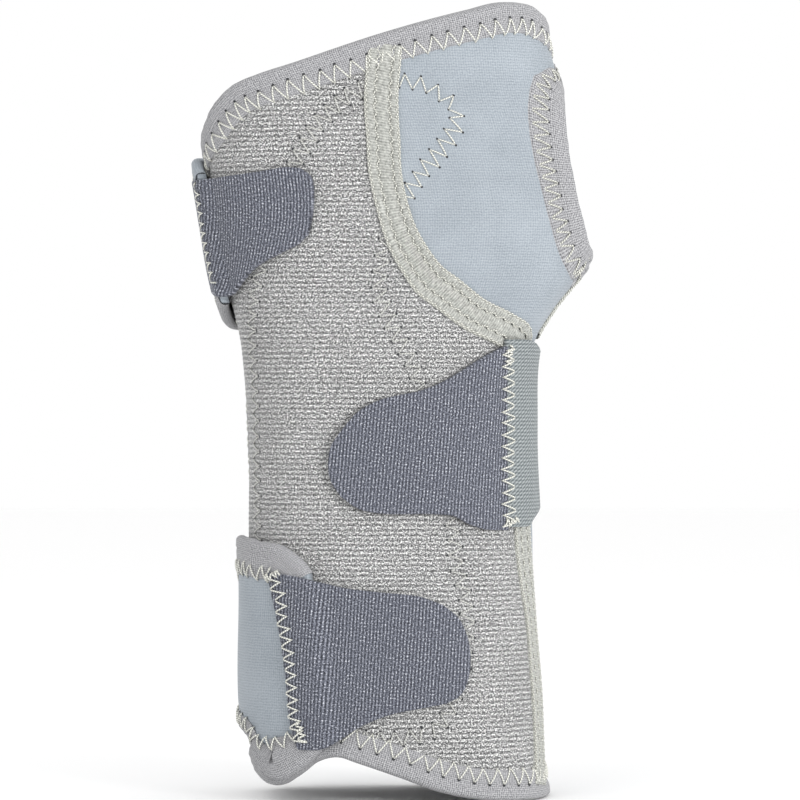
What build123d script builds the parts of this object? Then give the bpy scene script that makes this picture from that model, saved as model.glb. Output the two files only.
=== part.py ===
"""Wrist splint for the left hand, standing on its forearm end.

A sleeve of laminated neoprene, open along its little-finger side, with a thumb hole on the other side.
Three straps close it over the back of the hand, and two bent aluminium stays stiffen it.

+Z runs from the forearm to the fingers, -Y is the back of the hand, +X is the thumb side.
The origin is the middle of the overall box, on the surface that the splint stands on. Sizes in mm.
"""
from build123d import *
import math
import os

os.makedirs("parts", exist_ok=True)

# ---- Driving dimensions ------------------------------------------------------------------------
wall = 3.0                 # neoprene with its two faces
binding = 0.7              # thickness of the tape over each bound edge
rim_band = 7.0             # height of the tape at the hand and forearm openings
slit_band = 5.0            # width of the tape along the side slit
slit_gap = 1.5             # opening between the two bound edges of the slit
seam_width = 7.9
seam_height = 0.4
strap_clearance = 1.0      # strap to sleeve, so that it passes over the bound edges
tab_thickness = 1.2
elastic_inner = 0.8        # elastic to sleeve, over the flat seam
elastic_thickness = 1.3
flap_inner = 1.3           # neoprene flap above the sleeve
flap_thickness = 2.3
flap_binding_height = 4.0  # outer face of the tape on the flaps
flap_band = 5.5
hinge_gap = 0.5            # between a strap and its sewn-down base
stay_thickness = 1.6
lining_thickness = 0.8
palm_radius = 1100.0       # the palm side bends on this radius, from forearm to hand
palm_depth = 27.6          # palm side's distance from the origin, at the forearm end
section_power = 2.5        # superellipse power of the sleeve's cross-section
section_points = 16
section_step = 15.0        # height between the cross-sections that the sleeve is lofted through
split_y = -4.4             # where the thumb-side seam runs
middle_x = -0.81           # middle of the overall box, from the axes that the sleeve is drawn on
middle_y = -1.55

# ---- Shape of the sleeve: height, little-finger side, thumb side, back of the hand ---------------
STATIONS = [
    (-4, -35.5, 39.4, -30.0),
    (24, -36.7, 37.8, -29.4),
    (60, -37.0, 35.6, -27.9),
    (95, -37.5, 34.9, -26.4),
    (114, -38.5, 35.6, -25.7),
    (124, -40.4, 41.0, -25.4),
    (135, -42.9, 49.4, -25.3),
    (148, -45.6, 54.0, -25.4),
    (164, -48.0, 50.4, -25.8),
    (182, -48.9, 41.8, -26.3),
    (210, -47.5, 36.2, -27.0),
]

# Curves seen from the back of the hand, as (x, z)
HAND_RIM = [
    (-70, 160), (-48.4, 167.6), (-45.6, 176.5), (-34.1, 182.9), (-13.7, 189.3),
    (9.3, 196.2), (29.8, 201.6), (35.5, 201.4), (39.5, 199), (44, 197.8), (60, 196),
]
FOREARM_CORNER = [(-41, 16), (-34.5, 4.5), (-30.5, 0)]
FOREARM_RIM = [(-27.5, 0), (-22.5, 5.5), (-16.2, 11.8), (-8.6, 10.5), (1.7, 7.2), (15, 2.6), (28, 0)]
MAIN_SEAM = [
    (-2.2, 212), (-2.2, 186.8), (-2.6, 168.6), (-0.6, 149.5), (4.5, 138), (13.4, 128),
    (26, 119.6), (33, 112), (33.6, 100), (31.6, 80), (31.6, 66.8), (34.4, 45.3),
    (36.4, 22.8), (37, -10),
]
THUMB_HOLE = [
    (60, 133.5), (49.5, 135.5), (49.5, 140.7), (47.6, 149.6), (45.6, 159.8), (44, 167.5),
    (43, 173.5), (42.4, 177), (43.2, 180), (48, 182), (60, 182.5),
]
THUMB_BAND = [
    (60, 127.5), (45, 128.5), (42.5, 139), (40.9, 149.6), (38.9, 159.8), (37.3, 167.5),
    (36.6, 175), (37.6, 183), (43, 188), (60, 189),
]
STAY_POCKET = [
    (9.3, 18.1), (16, 30), (18.3, 50), (14.9, 70.5), (4.2, 111.4), (-3.4, 129.8), (-2.2, 140.8),
    (8, 159.4), (16, 170), (13.5, 178), (-1, 182), (-13, 176), (-23.1, 163.8), (-32, 145),
    (-34.6, 125), (-34.6, 75), (-32, 40), (-25, 22), (-8, 16.2),
]
WRIST_TAB = [
    (27.2, 114.7), (11.9, 105.8), (-3.4, 101.2), (-12.4, 94), (-15.5, 84.5), (-12.4, 76.9),
    (-3.4, 72.8), (14.4, 72.1), (27.2, 68.5),
]
FOREARM_TAB = [
    (-31, 57.7), (-13.7, 54.4), (6.8, 52.1), (16.5, 46), (19.3, 37.3), (16, 27), (-0.9, 22.5),
    (-13.7, 16.1), (-23.9, 13),
]
HAND_TAB = [
    (-70, 157.4), (-49.4, 157.4), (-27.7, 159.9), (-20.8, 155), (-21.3, 143.3), (-29, 138),
    (-38, 132.5), (-43.8, 126.7), (-70, 126.7),
]
FOREARM_FLAP_TOP = [(-70, 60.3), (-39.2, 60.3), (-36, 64.5), (-30, 64.2), (-22, 57)]
FOREARM_FLAP_BOTTOM = [(-70, 16), (-38.5, 15), (-33.6, 4), (-29.5, 0.4), (-23.9, 3), (-17, 12)]
forearm_flap_edge = [FOREARM_TAB[0], FOREARM_TAB[-1]]

# Curves seen from the little-finger side, as (y, z)
SLIT = [(11, -10), (11, 60), (11, 110), (7, 135), (2, 155), (-1, 168), (-2, 212)]
hand_hinge = [(-2.2, 119.8), (-5.0, 162.5)]
hand_flap_front = [(-8.7, 126.0), (-11.0, 158.5)]
forearm_hinge_y = -0.5
wrist_hinge_y = -1.0
forearm_base_top = 60.3
forearm_base_bottom = 12.0
base_reach = -20.0         # how far the sewn-down ends reach across the palm
wrist_strap_low = 69.2
wrist_strap_high = 116.5
wrist_anchor_reach = 4.0
stay_half_forearm = 11.0
stay_half_hand = 19.0
stay_low = 24.0
stay_high = 176.0
pocket_margin = 3.5
pocket_half_hand = 26.0

far = 120.0                # beyond the splint in every direction

front = Plane.XZ.offset(far)                                   # faces -Y, at y = -far
ulnar = Plane(origin=(-far, 0, 0), x_dir=(0, 1, 0), z_dir=(1, 0, 0))


# ---- Helpers: each works on the part whose block it is called in ---------------------------------
def palm_line(height):
    return palm_depth - (palm_radius - math.sqrt(palm_radius**2 - height**2))


def station_at(height):
    """The sleeve's measures at a height, on a smooth curve through the stations."""
    last = len(STATIONS) - 1
    i = max(j for j in range(last) if STATIONS[j][0] <= height)
    (z0, *start), (z1, *end) = STATIONS[i], STATIONS[i + 1]
    t = (height - z0) / (z1 - z0)
    before, after = STATIONS[max(i - 1, 0)], STATIONS[min(i + 2, last)]
    measures = [height]
    for k, (p0, p1) in enumerate(zip(start, end), start=1):
        m0 = (p1 - before[k]) / (z1 - before[0]) * (z1 - z0)
        m1 = (after[k] - p0) / (after[0] - z0) * (z1 - z0)
        measures.append((2 * t**3 - 3 * t**2 + 1) * p0 + (t**3 - 2 * t**2 + t) * m0
                        + (3 * t**2 - 2 * t**3) * p1 + (t**3 - t**2) * m1)
    return measures


def section(station, grow):
    """Points round the sleeve's cross-section, with its surface moved out by grow."""
    height, low_x, high_x, low_y = station
    high_y = palm_line(height)
    half_x = (high_x - low_x) / 2 + grow
    half_y = (high_y - low_y) / 2 + grow
    points = []
    for i in range(section_points):
        angle = 2 * math.pi * i / section_points
        c, s = math.cos(angle), math.sin(angle)
        r = (abs(c) ** section_power + abs(s) ** section_power) ** (-1 / section_power)
        points.append(((low_x + high_x) / 2 + half_x * r * c, (low_y + high_y) / 2 + half_y * r * s))
    return points


def sleeve(grow, mode=Mode.ADD):
    """The solid inside the sleeve's surface, moved out by grow."""
    profiles = []
    low, high = STATIONS[0][0], STATIONS[-1][0]
    count = math.ceil((high - low) / section_step)
    for i in range(count):
        station = station_at(low + (high - low - 0.01) * i / (count - 1))
        with BuildSketch(Plane.XY.offset(station[0])) as profile:
            with BuildLine():
                Spline(*section(station, grow), periodic=True)
            make_face()
        profiles.append(profile.sketch)
    loft(profiles, mode=mode)


def layer(inner, outer):
    """The sleeve's skin between two distances from its outer surface."""
    sleeve(outer)
    sleeve(inner, Mode.SUBTRACT)


def shape(curve, corners, plane, reach, mode=Mode.SUBTRACT, direction=None):
    """Cut with, or keep, a prism whose outline is a smooth curve closed by straight lines."""
    with BuildSketch(plane) as outline:
        with BuildLine():
            if len(curve) > 2:
                Spline(*curve)
            else:
                Line(*curve)
            Polyline(curve[-1], *corners, curve[0])
        make_face()
    extrude(outline.sketch, amount=reach, dir=direction, mode=mode)


def shifted(curve, dx=0.0, dz=0.0):
    return [(x + dx, z + dz) for x, z in curve]


def box_cut(low, high, mode=Mode.SUBTRACT):
    with Locations(tuple((a + b) / 2 for a, b in zip(low, high))):
        Box(*(b - a for a, b in zip(low, high)), mode=mode)


def cut_hand_rim(drop, above=True):
    """Cut away what is above the hand opening's edge, or below it, with the edge lowered by drop."""
    slope = 0.25                       # the palm side of the opening is lower
    start = Plane(origin=(0, -far, slope * (far - 25)), x_dir=(1, 0, 0), z_dir=(0, -1, 0))
    closing = 400 if above else -400
    curve = shifted(HAND_RIM, dz=-drop)
    shape(curve, [(curve[-1][0], closing), (curve[0][0], closing)], start, 2.2 * far,
          direction=(0, 1, -slope))


def cut_forearm_rim(rise, above=False):
    """Cut away what is below the forearm opening's edge, or above it, with the edge raised by rise."""
    closing = 400 if above else -60
    with BuildSketch(front) as outline:
        with BuildLine():
            corner = shifted(FOREARM_CORNER, dz=rise)
            edge = shifted(FOREARM_RIM, dz=rise)
            Spline(*corner)
            Line(corner[-1], edge[0])
            Spline(*edge)
            Polyline(edge[-1], (far, rise), (far, closing), (-far, closing), (-far, corner[0][1]),
                     corner[0])
        make_face()
    extrude(outline.sketch, amount=-2 * far, mode=Mode.SUBTRACT)


def cut_thumb_hole(curve, mode=Mode.SUBTRACT):
    """Cut, or keep, what is right of a curve, along a line that leans away from the palm."""
    lean = math.tan(math.radians(15))
    start = Plane(origin=(lean * (far - 14), -far, 0), x_dir=(1, 0, 0), z_dir=(0, -1, 0))
    shape(curve, [(200, curve[-1][1]), (200, curve[0][1])], start, 2.2 * far, mode, (-lean, 1, 0))


def cut_main_seam(keep_left, shift=0.0):
    """Cut away one side of the main seam, on the back of the hand."""
    side = far if keep_left else -far
    curve = shifted(MAIN_SEAM, dx=shift)
    shape(curve, [(side, curve[-1][1]), (side, curve[0][1])], front, -(far + split_y))


def cut_slit(keep_back, setback):
    """Cut away what is beyond the slit, on the little-finger side, with the edge set back."""
    side = far if keep_back else -far
    curve = shifted(SLIT, dx=-setback if keep_back else setback)
    shape(curve, [(side, curve[-1][1]), (side, curve[0][1])], ulnar, far - 9)


def cut_slit_gap(half):
    """Cut the opening along the slit, to half its width on each side."""
    near = shifted(SLIT, dx=-half)
    corners = shifted(SLIT, dx=half)[::-1]
    shape(near, corners, ulnar, far - 9)


def trim_ends(inset):
    cut_hand_rim(inset)
    cut_forearm_rim(inset)


def finish(part, name, color):
    """Move a sub-part from the sleeve's own axes to the shared frame, and write it."""
    with BuildPart() as placed:
        with Locations((-middle_x, -middle_y, 0)):
            add(part.part)
    placed.part.label = name
    placed.part.color = Color(*color)
    export_step(placed.part, f"parts/{name}.step")


def take_away(parts):
    for piece in parts:
        add(piece.part, mode=Mode.SUBTRACT)


KNIT = (0.66, 0.65, 0.64)
NEOPRENE = (0.70, 0.75, 0.79)
TAPE = (0.55, 0.55, 0.57)
THREAD = (0.85, 0.84, 0.80)
HOOK = (0.40, 0.41, 0.46)
ELASTIC = (0.66, 0.73, 0.73)
METAL = (0.80, 0.80, 0.82)
LINING = (0.30, 0.31, 0.34)
slit_setback = slit_gap / 2 + binding

# ---- Sleeve panels -------------------------------------------------------------------------------
with BuildPart() as foam:
    layer(-wall, 0)
    trim_ends(binding)
    cut_slit_gap(slit_gap / 2 + binding)
    cut_thumb_hole(THUMB_HOLE)

with BuildPart() as loop_panel:
    add(foam.part)
    cut_main_seam(keep_left=True)
    box_cut((-9, split_y, -far), (far, far, 3 * far))
    cut_slit(keep_back=True, setback=0)
finish(loop_panel, "loop_panel", KNIT)

gusset_low = 112.0
with BuildPart() as thumb_gusset:
    add(foam.part)
    cut_main_seam(keep_left=False)
    box_cut((-far, split_y, -far), (far, far, 3 * far))
    box_cut((-far, -far, -far), (far, far, gusset_low))
finish(thumb_gusset, "thumb_gusset", NEOPRENE)

with BuildPart() as palm_panel:
    add(foam.part)
    cut_main_seam(keep_left=False)
    box_cut((-far, -far, gusset_low), (far, split_y, 3 * far))
    cut_slit(keep_back=False, setback=0)
finish(palm_panel, "palm_panel", NEOPRENE)

# ---- Tape folded over the cut edges --------------------------------------------------------------
with BuildPart() as hand_binding:
    layer(-wall - binding, binding)
    cut_hand_rim(0)
    cut_hand_rim(rim_band, above=False)
    cut_slit_gap(slit_gap / 2)
    take_away([foam])
finish(hand_binding, "hand_binding", TAPE)

with BuildPart() as forearm_binding:
    layer(-wall - binding, binding)
    cut_forearm_rim(0)
    cut_forearm_rim(rim_band, above=True)
    cut_slit_gap(slit_gap / 2)
    take_away([foam])
finish(forearm_binding, "forearm_binding", TAPE)

with BuildPart() as thumb_binding:
    layer(-wall - binding, binding)
    cut_thumb_hole(THUMB_BAND, Mode.INTERSECT)
    cut_thumb_hole(shifted(THUMB_HOLE, dx=binding))
    cut_hand_rim(rim_band)
    take_away([foam])
finish(thumb_binding, "thumb_binding", TAPE)

rims = [hand_binding, forearm_binding, thumb_binding]

with BuildPart() as back_slit_binding:
    layer(-wall - binding, binding)
    cut_slit(keep_back=True, setback=slit_gap / 2)
    cut_slit(keep_back=False, setback=-slit_gap / 2 - slit_band)
    box_cut((-9, -far, -far), (far, far, 3 * far))
    trim_ends(0)
    take_away([foam, *rims])
finish(back_slit_binding, "back_slit_binding", TAPE)

with BuildPart() as palm_slit_binding:
    layer(-wall - binding, binding)
    cut_slit(keep_back=False, setback=slit_gap / 2)
    cut_slit(keep_back=True, setback=-slit_gap / 2 - slit_band)
    box_cut((-pocket_half_hand - 1, -far, -far), (far, far, 3 * far))
    trim_ends(0)
    take_away([foam, *rims])
finish(palm_slit_binding, "palm_slit_binding", TAPE)

# ---- Flat seams ----------------------------------------------------------------------------------
with BuildPart() as main_seam:
    layer(0, seam_height)
    trim_ends(0)
    cut_main_seam(keep_left=True, shift=seam_width / 2)
    cut_main_seam(keep_left=False, shift=-seam_width / 2)
    box_cut((-far, split_y, -far), (far, far, 3 * far))
    cut_thumb_hole(THUMB_BAND)
    take_away([hand_binding, forearm_binding])
finish(main_seam, "main_seam", THREAD)

with BuildPart() as thumb_side_seam:
    layer(0, seam_height)
    trim_ends(0)
    box_cut((-far, -far, -far), (far, split_y - seam_width / 3, 3 * far))
    box_cut((-far, split_y + seam_width / 3, -far), (far, far, 3 * far))
    box_cut((-far, -far, -far), (20, far, 3 * far))
    box_cut((-far, -far, -far), (far, far, gusset_low + 5))
    cut_thumb_hole(THUMB_BAND)
    take_away([hand_binding, main_seam])
finish(thumb_side_seam, "thumb_side_seam", THREAD)

# ---- Back stay, sewn into its pocket -------------------------------------------------------------
pocket_depth = 2.6
pocket_front = Plane.XZ.offset(5)


def keep_outline(curve, plane, reach):
    """Keep what is inside a closed smooth curve."""
    with BuildSketch(plane) as outline:
        with BuildLine():
            Spline(*curve, periodic=True)
        make_face()
    extrude(outline.sketch, amount=reach, mode=Mode.INTERSECT)


def inset(curve, amount):
    """The closed curve's points moved towards its inside."""
    moved = []
    for i, (x, z) in enumerate(curve):
        (x0, z0), (x1, z1) = curve[i - 1], curve[(i + 1) % len(curve)]
        dx, dz = x1 - x0, z1 - z0
        size = math.hypot(dx, dz)
        moved.append((x - amount * dz / size, z + amount * dx / size))
    return moved


with BuildPart() as back_stay:
    layer(-wall - 0.1 - stay_thickness, -wall - 0.1)
    keep_outline(inset(STAY_POCKET, 2 * pocket_margin), pocket_front, far)
finish(back_stay, "back_stay", METAL)

with BuildPart() as back_pocket_space:
    layer(-wall - pocket_depth + lining_thickness, -wall)
    keep_outline(inset(STAY_POCKET, pocket_margin / 2), pocket_front, far)

with BuildPart() as back_pocket_lining:
    layer(-wall - pocket_depth, -wall)
    keep_outline(STAY_POCKET, pocket_front, far)
    take_away([back_pocket_space, hand_binding, forearm_binding])
finish(back_pocket_lining, "back_pocket_lining", LINING)

# ---- Palm stay, which slides out of its pocket at the hand end -----------------------------------
stay_depth = 5.4           # from the palm side's outer surface to the stay's outer face
pocket_slack = 0.5
stay_axis_y = palm_depth - palm_radius


def arc_band(outer_depth, inner_depth, low, high, mode=Mode.ADD):
    """A plate across the palm side, bent on the palm's radius, between two depths."""
    outer, inner = palm_radius - outer_depth, palm_radius - inner_depth
    turn = [math.degrees(math.asin(z / palm_radius)) for z in (low, high)]
    with BuildSketch(Plane.YZ.offset(-far)) as outline:
        with BuildLine():
            big = CenterArc((stay_axis_y, 0), outer, turn[0], turn[1] - turn[0])
            small = CenterArc((stay_axis_y, 0), inner, turn[0], turn[1] - turn[0])
            Line(big @ 0, small @ 0)
            Line(big @ 1, small @ 1)
        make_face()
    extrude(outline.sketch, amount=2 * far, mode=mode)


def stay_outline(margin):
    """Half-widths of the palm stay, from its rounded forearm end to the wider palm end."""
    low, high = stay_low - margin, stay_high + margin
    narrow, wide = stay_half_forearm + margin, stay_half_hand + margin
    side = [(narrow, low + 8), (narrow, 50), (narrow, 70), (narrow, 90), (wide - 2, 128), (wide, 150),
            (wide - 4, high - 8)]
    mirrored = [(-x, z) for x, z in side[::-1]]
    return [(0, low), *side, (0, high), *mirrored]


with BuildPart() as palm_stay:
    arc_band(stay_depth, stay_depth + stay_thickness, stay_low - 10, stay_high + 20)
    keep_outline(stay_outline(0), Plane.XZ, -far)
finish(palm_stay, "palm_stay", METAL)

pocket_top = 168.0
with BuildPart() as palm_pocket_space:
    arc_band(stay_depth - pocket_slack, stay_depth + stay_thickness + pocket_slack,
             stay_low - 20, stay_high + 20)
    with BuildSketch(Plane.XZ) as outline:
        with BuildLine():
            Polyline((-15, stay_low - 2), (15, stay_low - 2), (15, 95), (stay_half_hand + 3, 128),
                     (stay_half_hand + 3, 220), (-stay_half_hand - 3, 220),
                     (-stay_half_hand - 3, 128), (-15, 95), close=True)
        make_face()
    extrude(outline.sketch, amount=-far, mode=Mode.INTERSECT)

with BuildPart() as palm_pocket_lining:
    sleeve(-wall)
    with BuildSketch(Plane.XZ) as outline:
        with BuildLine():
            Polyline((-19, stay_low - 4), (19, stay_low - 4), (19, 92), (pocket_half_hand, 126),
                     (pocket_half_hand, pocket_top), (-pocket_half_hand, pocket_top),
                     (-pocket_half_hand, 126), (-19, 92), close=True)
        make_face()
    extrude(outline.sketch, amount=-far, mode=Mode.INTERSECT)
    arc_band(stay_depth + stay_thickness + pocket_slack + lining_thickness, 60, -30, 230,
             Mode.SUBTRACT)
    take_away([palm_pocket_space, hand_binding, thumb_binding])
finish(palm_pocket_lining, "palm_pocket_lining", LINING)

# ---- Straps --------------------------------------------------------------------------------------
flap_outer = flap_inner + flap_thickness
tab_layer = (strap_clearance, strap_clearance + tab_thickness)
elastic_layer = (elastic_inner, elastic_inner + elastic_thickness)
tape_layer = (strap_clearance, flap_binding_height)


def side_keep(points, near=-far, reach=far - 15):
    """Keep what lies inside straight lines seen from the little-finger side."""
    with BuildSketch(Plane(origin=(near, 0, 0), x_dir=(0, 1, 0), z_dir=(1, 0, 0))) as outline:
        with BuildLine():
            Polyline(*points, close=True)
        make_face()
    extrude(outline.sketch, amount=reach, mode=Mode.INTERSECT)


(hinge_y0, hinge_z0), (hinge_y1, hinge_z1) = hand_hinge
(flap_y0, flap_z0), (flap_y1, flap_z1) = hand_flap_front
hand_flap_side = [(hinge_y0 - hinge_gap / 2, hinge_z0), (hinge_y1 - hinge_gap / 2, hinge_z1),
                  (flap_y1, flap_z1), (flap_y0, flap_z0)]
hand_flap_core = [(hinge_y0 - hinge_gap / 2, hinge_z0 + flap_band), (hinge_y1 - hinge_gap / 2,
                  hinge_z1 - flap_band), (flap_y1, flap_z1 - flap_band), (flap_y0, flap_z0 + flap_band)]

with BuildPart() as hand_flap:
    layer(flap_inner, flap_outer)
    side_keep(hand_flap_side)
finish(hand_flap, "hand_flap", NEOPRENE)

with BuildPart() as hand_flap_binding:
    layer(*tape_layer)
    side_keep(hand_flap_side)
    with BuildSketch(ulnar) as outline:
        with BuildLine():
            Polyline(*hand_flap_core, close=True)
        make_face()
    extrude(outline.sketch, amount=far, mode=Mode.SUBTRACT)
    take_away([hand_flap])
finish(hand_flap_binding, "hand_flap_binding", TAPE)

with BuildPart() as hand_hook_tab:
    layer(*tab_layer)
    with BuildSketch(front) as outline:
        with BuildLine():
            Spline(*HAND_TAB[1:-1])
            Polyline(HAND_TAB[-2], HAND_TAB[-1], HAND_TAB[0], HAND_TAB[1])
        make_face()
    extrude(outline.sketch, amount=-far + 5, mode=Mode.INTERSECT)
    lean = (flap_y1 - flap_y0) / (flap_z1 - flap_z0)
    shape([(flap_y0 - 20 * lean, flap_z0 - 20), (flap_y1 + 20 * lean, flap_z1 + 20)],
          [(far, flap_z1 + 20), (far, flap_z0 - 20)], ulnar, far)
finish(hand_hook_tab, "hand_hook_tab", HOOK)

with BuildPart() as hand_strap_base:
    layer(strap_clearance, flap_outer)
    side_keep([(hinge_y0 + hinge_gap / 2, hinge_z0), (hinge_y1 + hinge_gap / 2, hinge_z1),
               (far, hinge_z1), (far, hinge_z0)], reach=far + base_reach)
finish(hand_strap_base, "hand_strap_base", NEOPRENE)


def cut_flap_ends(inset_by):
    """Cut along the forearm flap's upper and lower edges, set in by an amount."""
    shape(shifted(FOREARM_FLAP_TOP, dz=-inset_by), [(-22, 200), (-70, 200)], front, -far)
    shape(shifted(FOREARM_FLAP_BOTTOM, dz=inset_by), [(-17, -60), (-70, -60)], front, -far)


def cut_flap_edge():
    """Cut along the line where the forearm flap meets its hook tab."""
    (x0, z0), (x1, z1) = forearm_flap_edge
    lean = (x1 - x0) / (z1 - z0)
    top, bottom = 90, -20
    shape([(x0 + lean * (top - z0), top), (x0 + lean * (bottom - z0), bottom)],
          [(far, bottom), (far, top)], front, -far)


with BuildPart() as forearm_flap:
    layer(flap_inner, flap_outer)
    box_cut((-far, forearm_hinge_y - hinge_gap / 2, -far), (far, far, 3 * far))
    cut_flap_edge()
    cut_flap_ends(0.6)
    box_cut((-far, -far, 80), (far, far, 3 * far))
finish(forearm_flap, "forearm_flap", NEOPRENE)

with BuildPart() as forearm_flap_binding:
    layer(*tape_layer)
    box_cut((-far, forearm_hinge_y - hinge_gap / 2, -far), (far, far, 3 * far))
    cut_flap_edge()
    cut_flap_ends(0)
    box_cut((-far, -far, 80), (far, far, 3 * far))
    with BuildSketch(front) as outline:
        with BuildLine():
            Spline(*shifted(FOREARM_FLAP_TOP, dz=-flap_band))
            Line((-22, 57 - flap_band), (-17, 12 + flap_band))
            Spline(*shifted(FOREARM_FLAP_BOTTOM, dz=flap_band))
            Line((-70, 16 + flap_band), (-70, 60.3 - flap_band))
        make_face()
    extrude(outline.sketch, amount=-2 * far, mode=Mode.SUBTRACT)
    take_away([forearm_flap])
finish(forearm_flap_binding, "forearm_flap_binding", TAPE)

with BuildPart() as forearm_hook_tab:
    layer(*tab_layer)
    with BuildSketch(front) as outline:
        with BuildLine():
            Spline(*FOREARM_TAB)
            Line(FOREARM_TAB[-1], FOREARM_TAB[0])
        make_face()
    extrude(outline.sketch, amount=-far + 5, mode=Mode.INTERSECT)
finish(forearm_hook_tab, "forearm_hook_tab", HOOK)

with BuildPart() as forearm_strap_base:
    layer(strap_clearance, flap_outer)
    box_cut((-far, -far, -far), (far, forearm_hinge_y + hinge_gap / 2, 3 * far))
    box_cut((base_reach, -far, -far), (far, far, 3 * far))
    box_cut((-far, -far, -far), (far, far, forearm_base_bottom))
    box_cut((-far, -far, forearm_base_top), (far, far, 3 * far))
finish(forearm_strap_base, "forearm_strap_base", NEOPRENE)

with BuildPart() as wrist_elastic:
    layer(*elastic_layer)
    box_cut((-far, wrist_hinge_y - hinge_gap / 2, -far), (far, far, 3 * far))
    box_cut((-far, -far, -far), (27.2, far, 3 * far))
    box_cut((-far, -far, -far), (far, far, wrist_strap_low))
    box_cut((-far, -far, wrist_strap_high), (far, far, 3 * far))
finish(wrist_elastic, "wrist_elastic", ELASTIC)

with BuildPart() as wrist_hook_tab:
    layer(*elastic_layer)
    with BuildSketch(front) as outline:
        with BuildLine():
            Spline(*WRIST_TAB)
            Line(WRIST_TAB[-1], WRIST_TAB[0])
        make_face()
    extrude(outline.sketch, amount=-far + 5, mode=Mode.INTERSECT)
finish(wrist_hook_tab, "wrist_hook_tab", HOOK)

with BuildPart() as wrist_strap_base:
    layer(*elastic_layer)
    box_cut((-far, -far, -far), (far, wrist_hinge_y + hinge_gap / 2, 3 * far))
    box_cut((-far, -far, -far), (wrist_anchor_reach, far, 3 * far))
    box_cut((-far, -far, -far), (far, far, wrist_strap_low))
    box_cut((-far, -far, wrist_strap_high), (far, far, 3 * far))
finish(wrist_strap_base, "wrist_strap_base", ELASTIC)
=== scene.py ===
"""Looks of the left wrist splint: foam panels, tape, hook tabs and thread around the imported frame.

Nearly every piece is a mesh laid on the sleeve's surface. A place on it is (s, z, d): the way round the
sleeve from the middle of the hand's back, towards the thumb; the height; and the distance out from the
surface. Those and the outlines are in millimetres, and the meshes are in metres.
"""
import math

import bpy
import mathutils
import numpy as np
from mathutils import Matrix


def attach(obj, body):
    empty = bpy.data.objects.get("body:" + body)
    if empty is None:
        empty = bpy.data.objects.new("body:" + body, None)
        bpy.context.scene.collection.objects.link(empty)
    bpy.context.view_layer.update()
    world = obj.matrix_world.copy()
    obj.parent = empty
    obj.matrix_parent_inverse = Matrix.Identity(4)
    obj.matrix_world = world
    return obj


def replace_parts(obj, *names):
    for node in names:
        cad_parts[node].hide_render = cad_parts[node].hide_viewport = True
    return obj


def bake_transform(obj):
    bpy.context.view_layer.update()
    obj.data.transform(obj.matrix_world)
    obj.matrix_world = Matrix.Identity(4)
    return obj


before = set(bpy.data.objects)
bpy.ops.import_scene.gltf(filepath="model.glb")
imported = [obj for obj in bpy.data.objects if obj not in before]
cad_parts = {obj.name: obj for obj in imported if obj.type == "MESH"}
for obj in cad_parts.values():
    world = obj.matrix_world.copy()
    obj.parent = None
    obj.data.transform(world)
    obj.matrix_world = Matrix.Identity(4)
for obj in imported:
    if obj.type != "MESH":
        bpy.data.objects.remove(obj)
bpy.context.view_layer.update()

MM = 0.001

# ---- The sleeve's form, as in the CAD: height, little-finger side, thumb side, back of the hand ----
STATIONS = np.array([
    (-4, -35.5, 39.4, -30.0),
    (24, -36.7, 37.8, -29.4),
    (60, -37.0, 35.6, -27.9),
    (95, -37.5, 34.9, -26.4),
    (114, -38.5, 35.6, -25.7),
    (124, -40.4, 41.0, -25.4),
    (135, -42.9, 49.4, -25.3),
    (148, -45.6, 54.0, -25.4),
    (164, -48.0, 50.4, -25.8),
    (182, -48.9, 41.8, -26.3),
    (210, -47.5, 36.2, -27.0),
])
MIDDLE = np.array([-0.81, -1.55, 0.0])   # middle of the overall box, from the sleeve's own axes
PALM_DEPTH = 27.6
PALM_RADIUS = 1100.0
POWER = 2.5
WALL = 3.0
TAPE = 0.7

# ---- Outlines. From the back of the hand and from the palm they are (x, z), from the side (y, z) ---
HAND_RIM = [(-45.6, 175.5), (-40.5, 180.4), (-34.1, 182.9), (-23.9, 186), (-3.4, 192.6),
            (9.3, 196.2), (19.5, 198.8), (27.5, 200.8), (31.5, 201.2)]
HAND_RIM_PALM = [(-47.2, 161), (-43.5, 167), (-37, 172.5), (-25, 177.5), (-10, 182), (5, 185), (20, 187.5),
                 (29, 189.3)]
HAND_RIM_SIDE = [(3, 192.8), (-3, 195.3), (-9, 197.7), (-15, 199.4)]
FOREARM_RIM = [(-34.4, 6.2), (-30.6, 4.4), (-25.5, 7.2), (-20.5, 10.8), (-14.5, 12.2), (-8.6, 10.6),
               (1.7, 7.2), (11.9, 3.6), (22.1, 1.5), (31, 0.8)]
FOREARM_RIM_PALM = [(30.5, 0.8), (22, 1.8), (11.9, 3.6), (1.7, 7.2), (-8.6, 10.6), (-14.5, 12.4),
                    (-20.5, 10.8), (-25.5, 7.0), (-30.6, 4.6), (-34.3, 6.0)]
SLIT_FOOT = [(10.2, 19), (9.2, 12.5), (4, 9.8), (-4, 9.4)]
SLIT_PALM = [(13.2, 10), (11.9, 19), (11.75, 40), (11.75, 80), (11.4, 112), (8, 135), (3.0, 152)]
SLIT_BACK = [(-6.5, 167.2), (-1.6, 162), (1.2, 152), (6.2, 135), (9.9, 112), (10.25, 80), (10.25, 40)]
MAIN_SEAM = [(-1.6, 196), (-2.2, 186.8), (-2.6, 168.6), (-1.5, 155.1), (1.7, 143.6), (8.3, 132.4),
             (13.4, 128), (20.1, 122.9), (27.7, 119.1), (32.5, 115), (33.2, 106), (32.8, 80),
             (32.9, 66.8), (33.8, 54.6), (34.9, 45.3), (35.9, 34.1), (36.7, 22.8), (37.1, 12.1), (37.3, -2)]
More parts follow.
